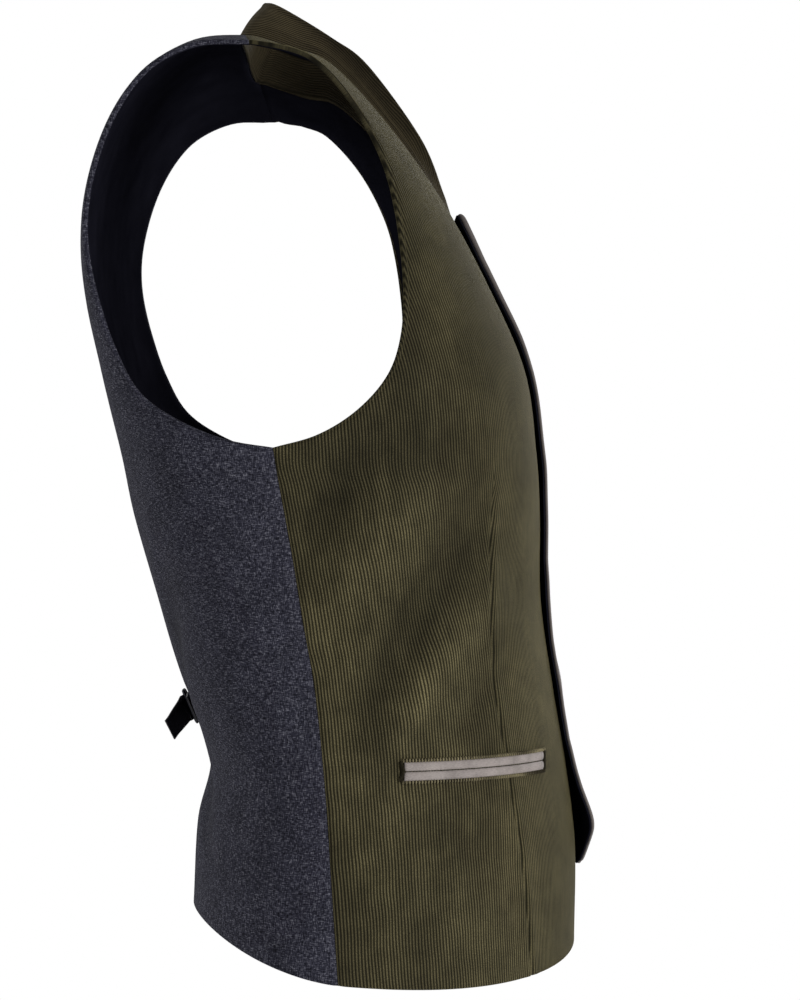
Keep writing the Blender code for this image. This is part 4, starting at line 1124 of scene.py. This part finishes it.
POCKET_BOTTOM = POCKET_TOP - 2 * LIP_HEIGHT - 2 * GAP
number = np.arange(TACK_STEPS)
tack_grows = np.clip(np.minimum(number, number[::-1]) / TACK_END_STEPS, 0, 1)
for side in ("right", "left"):
    for part, z in (("top", POCKET_TOP + BORDER_RADIUS), ("bottom", POCKET_BOTTOM - BORDER_RADIUS)):
        y = np.linspace(POCKET_SIDE_Y + BORDER_SHORT, POCKET_FRONT_Y - BORDER_SHORT, BORDER_STEPS)
        path, normals = on_front(y, np.full(len(y), z), side, BORDER_RADIUS)
        radius = BORDER_RADIUS * (1 + BORDER_BEAD * np.sin(2 * np.pi * lengths(path) / WALE))
        rod(f"pocket_border_{side}_{part}", path, normals, radius, border_olive)
    for part, y, waver in (("front", POCKET_FRONT_Y - TACK_RADIUS, 0.0),
                           ("side", POCKET_SIDE_Y + TACK_RADIUS, TACK_WAVER)):
        z = np.linspace(POCKET_TOP + TACK_SHORT, POCKET_BOTTOM - TACK_SHORT, TACK_STEPS)
        path, normals = on_front(y + waver * np.sin(TACK_WAVES * z), z, side, TACK_RADIUS * TACK_LIFT)
        radius = TACK_RADIUS * (TACK_END + (1 - TACK_END) * tack_grows)
        radius = radius * (1 + TACK_BEAD * np.sin(2 * np.pi * z / TACK_TURN))
        rod(f"pocket_tack_{side}_{part}", path, normals, radius, thread)

y = np.linspace(POCKET_SIDE_Y, POCKET_FRONT_Y, LIP_COLUMNS + 1)
share = np.linspace(0, 1, LIP_ROWS + 1)[:, None, None]
crown = LIP_THICKNESS + LIP_CROWN * (np.sin(np.pi * share) ** LIP_ROUNDNESS - 1)
lip_grain = np.stack(np.broadcast_arrays(y, share[..., 0] * LIP_HEIGHT), axis=-1)
for side in ("right", "left"):
    for part, top in (("upper", POCKET_TOP), ("lower", POCKET_TOP - LIP_HEIGHT - 2 * GAP)):
        low, high = (place_of(np.stack([y, np.full(len(y), z)], axis=1), [1, 2], False)
                     for z in (top - LIP_HEIGHT, top))
        under, normals, _ = cloth(low * (1 - share) + high * share, False, side, LIP_CLEAR)
        dress(wall(f"pocket_lip_{side}_{part}", under + normals * crown, under, lip_grain),
              taupe_satin, f"pocket_{side}_{part}", "taupe_satin", flat=(0.096, 0.010), area=0.00058,
              held="folded", rests_on=[f"corduroy_front_{side}"])


# ---- The back strap --------------------------------------------------------------------------------
# Two strips of black satin meet at the centre of the waist. The long one goes through a plain dark
# slider, which sets the fit, and its end hangs loose; the short one ends under the slider.

STRAP_WIDTH = 0.016
STRAP_THICKNESS = 0.0010
STRAP_Z = -0.3895
STRAP_LONG = np.array([
    # x,      lift off the cloth, drop
    [+0.0850, 0.0006, 0.0000],
    [+0.0650, 0.0006, 0.0000],
    [+0.0450, 0.0006, 0.0000],
    [+0.0260, 0.0006, 0.0000],
    [+0.0085, 0.0005, 0.0000],
    [+0.0048, 0.0005, 0.0000],
    [-0.0048, 0.0045, 0.0000],
    [-0.0085, 0.0052, 0.0000],
    [-0.0125, 0.0080, 0.0015],
    [-0.0170, 0.0130, 0.0040],
    [-0.0210, 0.0185, 0.0070],
])
STRAP_SHORT = np.array([
    # x,      lift,   drop
    [-0.0420, 0.0008, 0.0000],
    [-0.0330, 0.0008, 0.0000],
    [-0.0250, 0.0007, 0.0000],
    [-0.0085, 0.0005, 0.0000],
    [-0.0025, 0.0005, 0.0000],
])
STRAP_ROWS = 6
STRAP_STEPS = 8             # of the grid, between two rows of a table

satin = two_toned("black satin", 0.38, (paint(3, 3, 6), paint(20, 18, 24)), threads=(500.0, 2800.0, 1.0),
                  Specular_IOR_Level=0.4)


def back_at(x, z, side):
    """Points and normals of the back's cloth at these x and z."""
    return cloth(place_of(np.stack([-np.abs(x), z], axis=1), [0, 2], True), True, side)[:2]


for name, path, replaced, flat in (("satin_strap_long", STRAP_LONG, "strap_left", (0.016, 0.125)),
                                   ("satin_strap_short", STRAP_SHORT, "strap_right", (0.016, 0.042))):
    x, lift, drop = smooth(path, np.linspace(0, len(path) - 1, STRAP_STEPS * (len(path) - 1) + 1)).T
    sides = [back_at(x, STRAP_Z - drop, side) for side in ("left", "right")]
    under, normals = (np.where(x[:, None] > 0, *pair) for pair in zip(*sides))
    middle = under + normals * lift[:, None]
    along = np.gradient(middle, axis=0)
    across = unit(np.cross(normals, along))
    up = unit(np.cross(along, across))
    up *= np.sign((up * normals).sum(axis=1, keepdims=True))
    share = np.linspace(-0.5, 0.5, STRAP_ROWS + 1)[:, None, None]
    under = middle + across * STRAP_WIDTH * share
    strap_grain = np.stack(np.broadcast_arrays(lengths(middle), share[..., 0] * STRAP_WIDTH), axis=-1)
    dress(wall(name, under + up * STRAP_THICKNESS, under, strap_grain),
          satin, replaced, "black_satin", flat=flat, held="folded", rests_on=["wool_back"])

# The slider is a flat ring of bent wire with round corners.
SLIDER_LIFT = 0.0018
SLIDER_THICKNESS = 0.0020
SLIDER_BAR = 0.0030
SLIDER_OPENING = 0.0092
SLIDER_SQUARE = 8           # power of its superellipse: how square its corners are
SLIDER_STEPS = 96
SLIDER_SIDES = 12
at = place_of(np.array([[0.0, STRAP_Z]]), [0, 2], True)
middle, normal = form(at[0, 0], at[0, 1], True), outward(at[0, 0], at[0, 1], True)
sideways = np.array([1.0, 0.0, 0.0])
upward = np.cross(normal, sideways)
half_across = SLIDER_OPENING / 2 + SLIDER_BAR / 2
half_up = STRAP_WIDTH / 2 + GAP + SLIDER_BAR / 2
turn, wire = np.meshgrid(np.linspace(0, 2 * np.pi, SLIDER_STEPS + 1)[:-1],
                         np.linspace(0, 2 * np.pi, SLIDER_SIDES + 1)[:-1], indexing="ij")
square = np.abs(np.cos(turn)) ** SLIDER_SQUARE + np.abs(np.sin(turn)) ** SLIDER_SQUARE
square = square ** (-1 / SLIDER_SQUARE)
out = np.cos(wire) * SLIDER_BAR / 2
ring_across = np.cos(turn) * square * (half_across + out)
ring_up = np.sin(turn) * square * (half_up + out)
lift = SLIDER_LIFT + SLIDER_THICKNESS / 2 * (1 + np.sin(wire))
ring_points = (middle + normal * lift[..., None] + sideways * ring_across[..., None]
               + upward * ring_up[..., None])
number = np.arange(turn.size).reshape(turn.shape)
following = np.roll(number, -1, 0)
faces = np.stack([np.roll(number, -1, 1), np.roll(following, -1, 1), following, number], axis=-1)
slider = put("slider_ring", ring_points, faces.reshape(-1, 4).tolist())
metal = two_toned("dark metal", 0.35, (paint(40, 40, 44), paint(78, 78, 84)), cloud=(300.0, 3.0),
                  Metallic=1.0)
slider.data.materials.append(metal)
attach(slider, "root")
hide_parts("strap_slider")
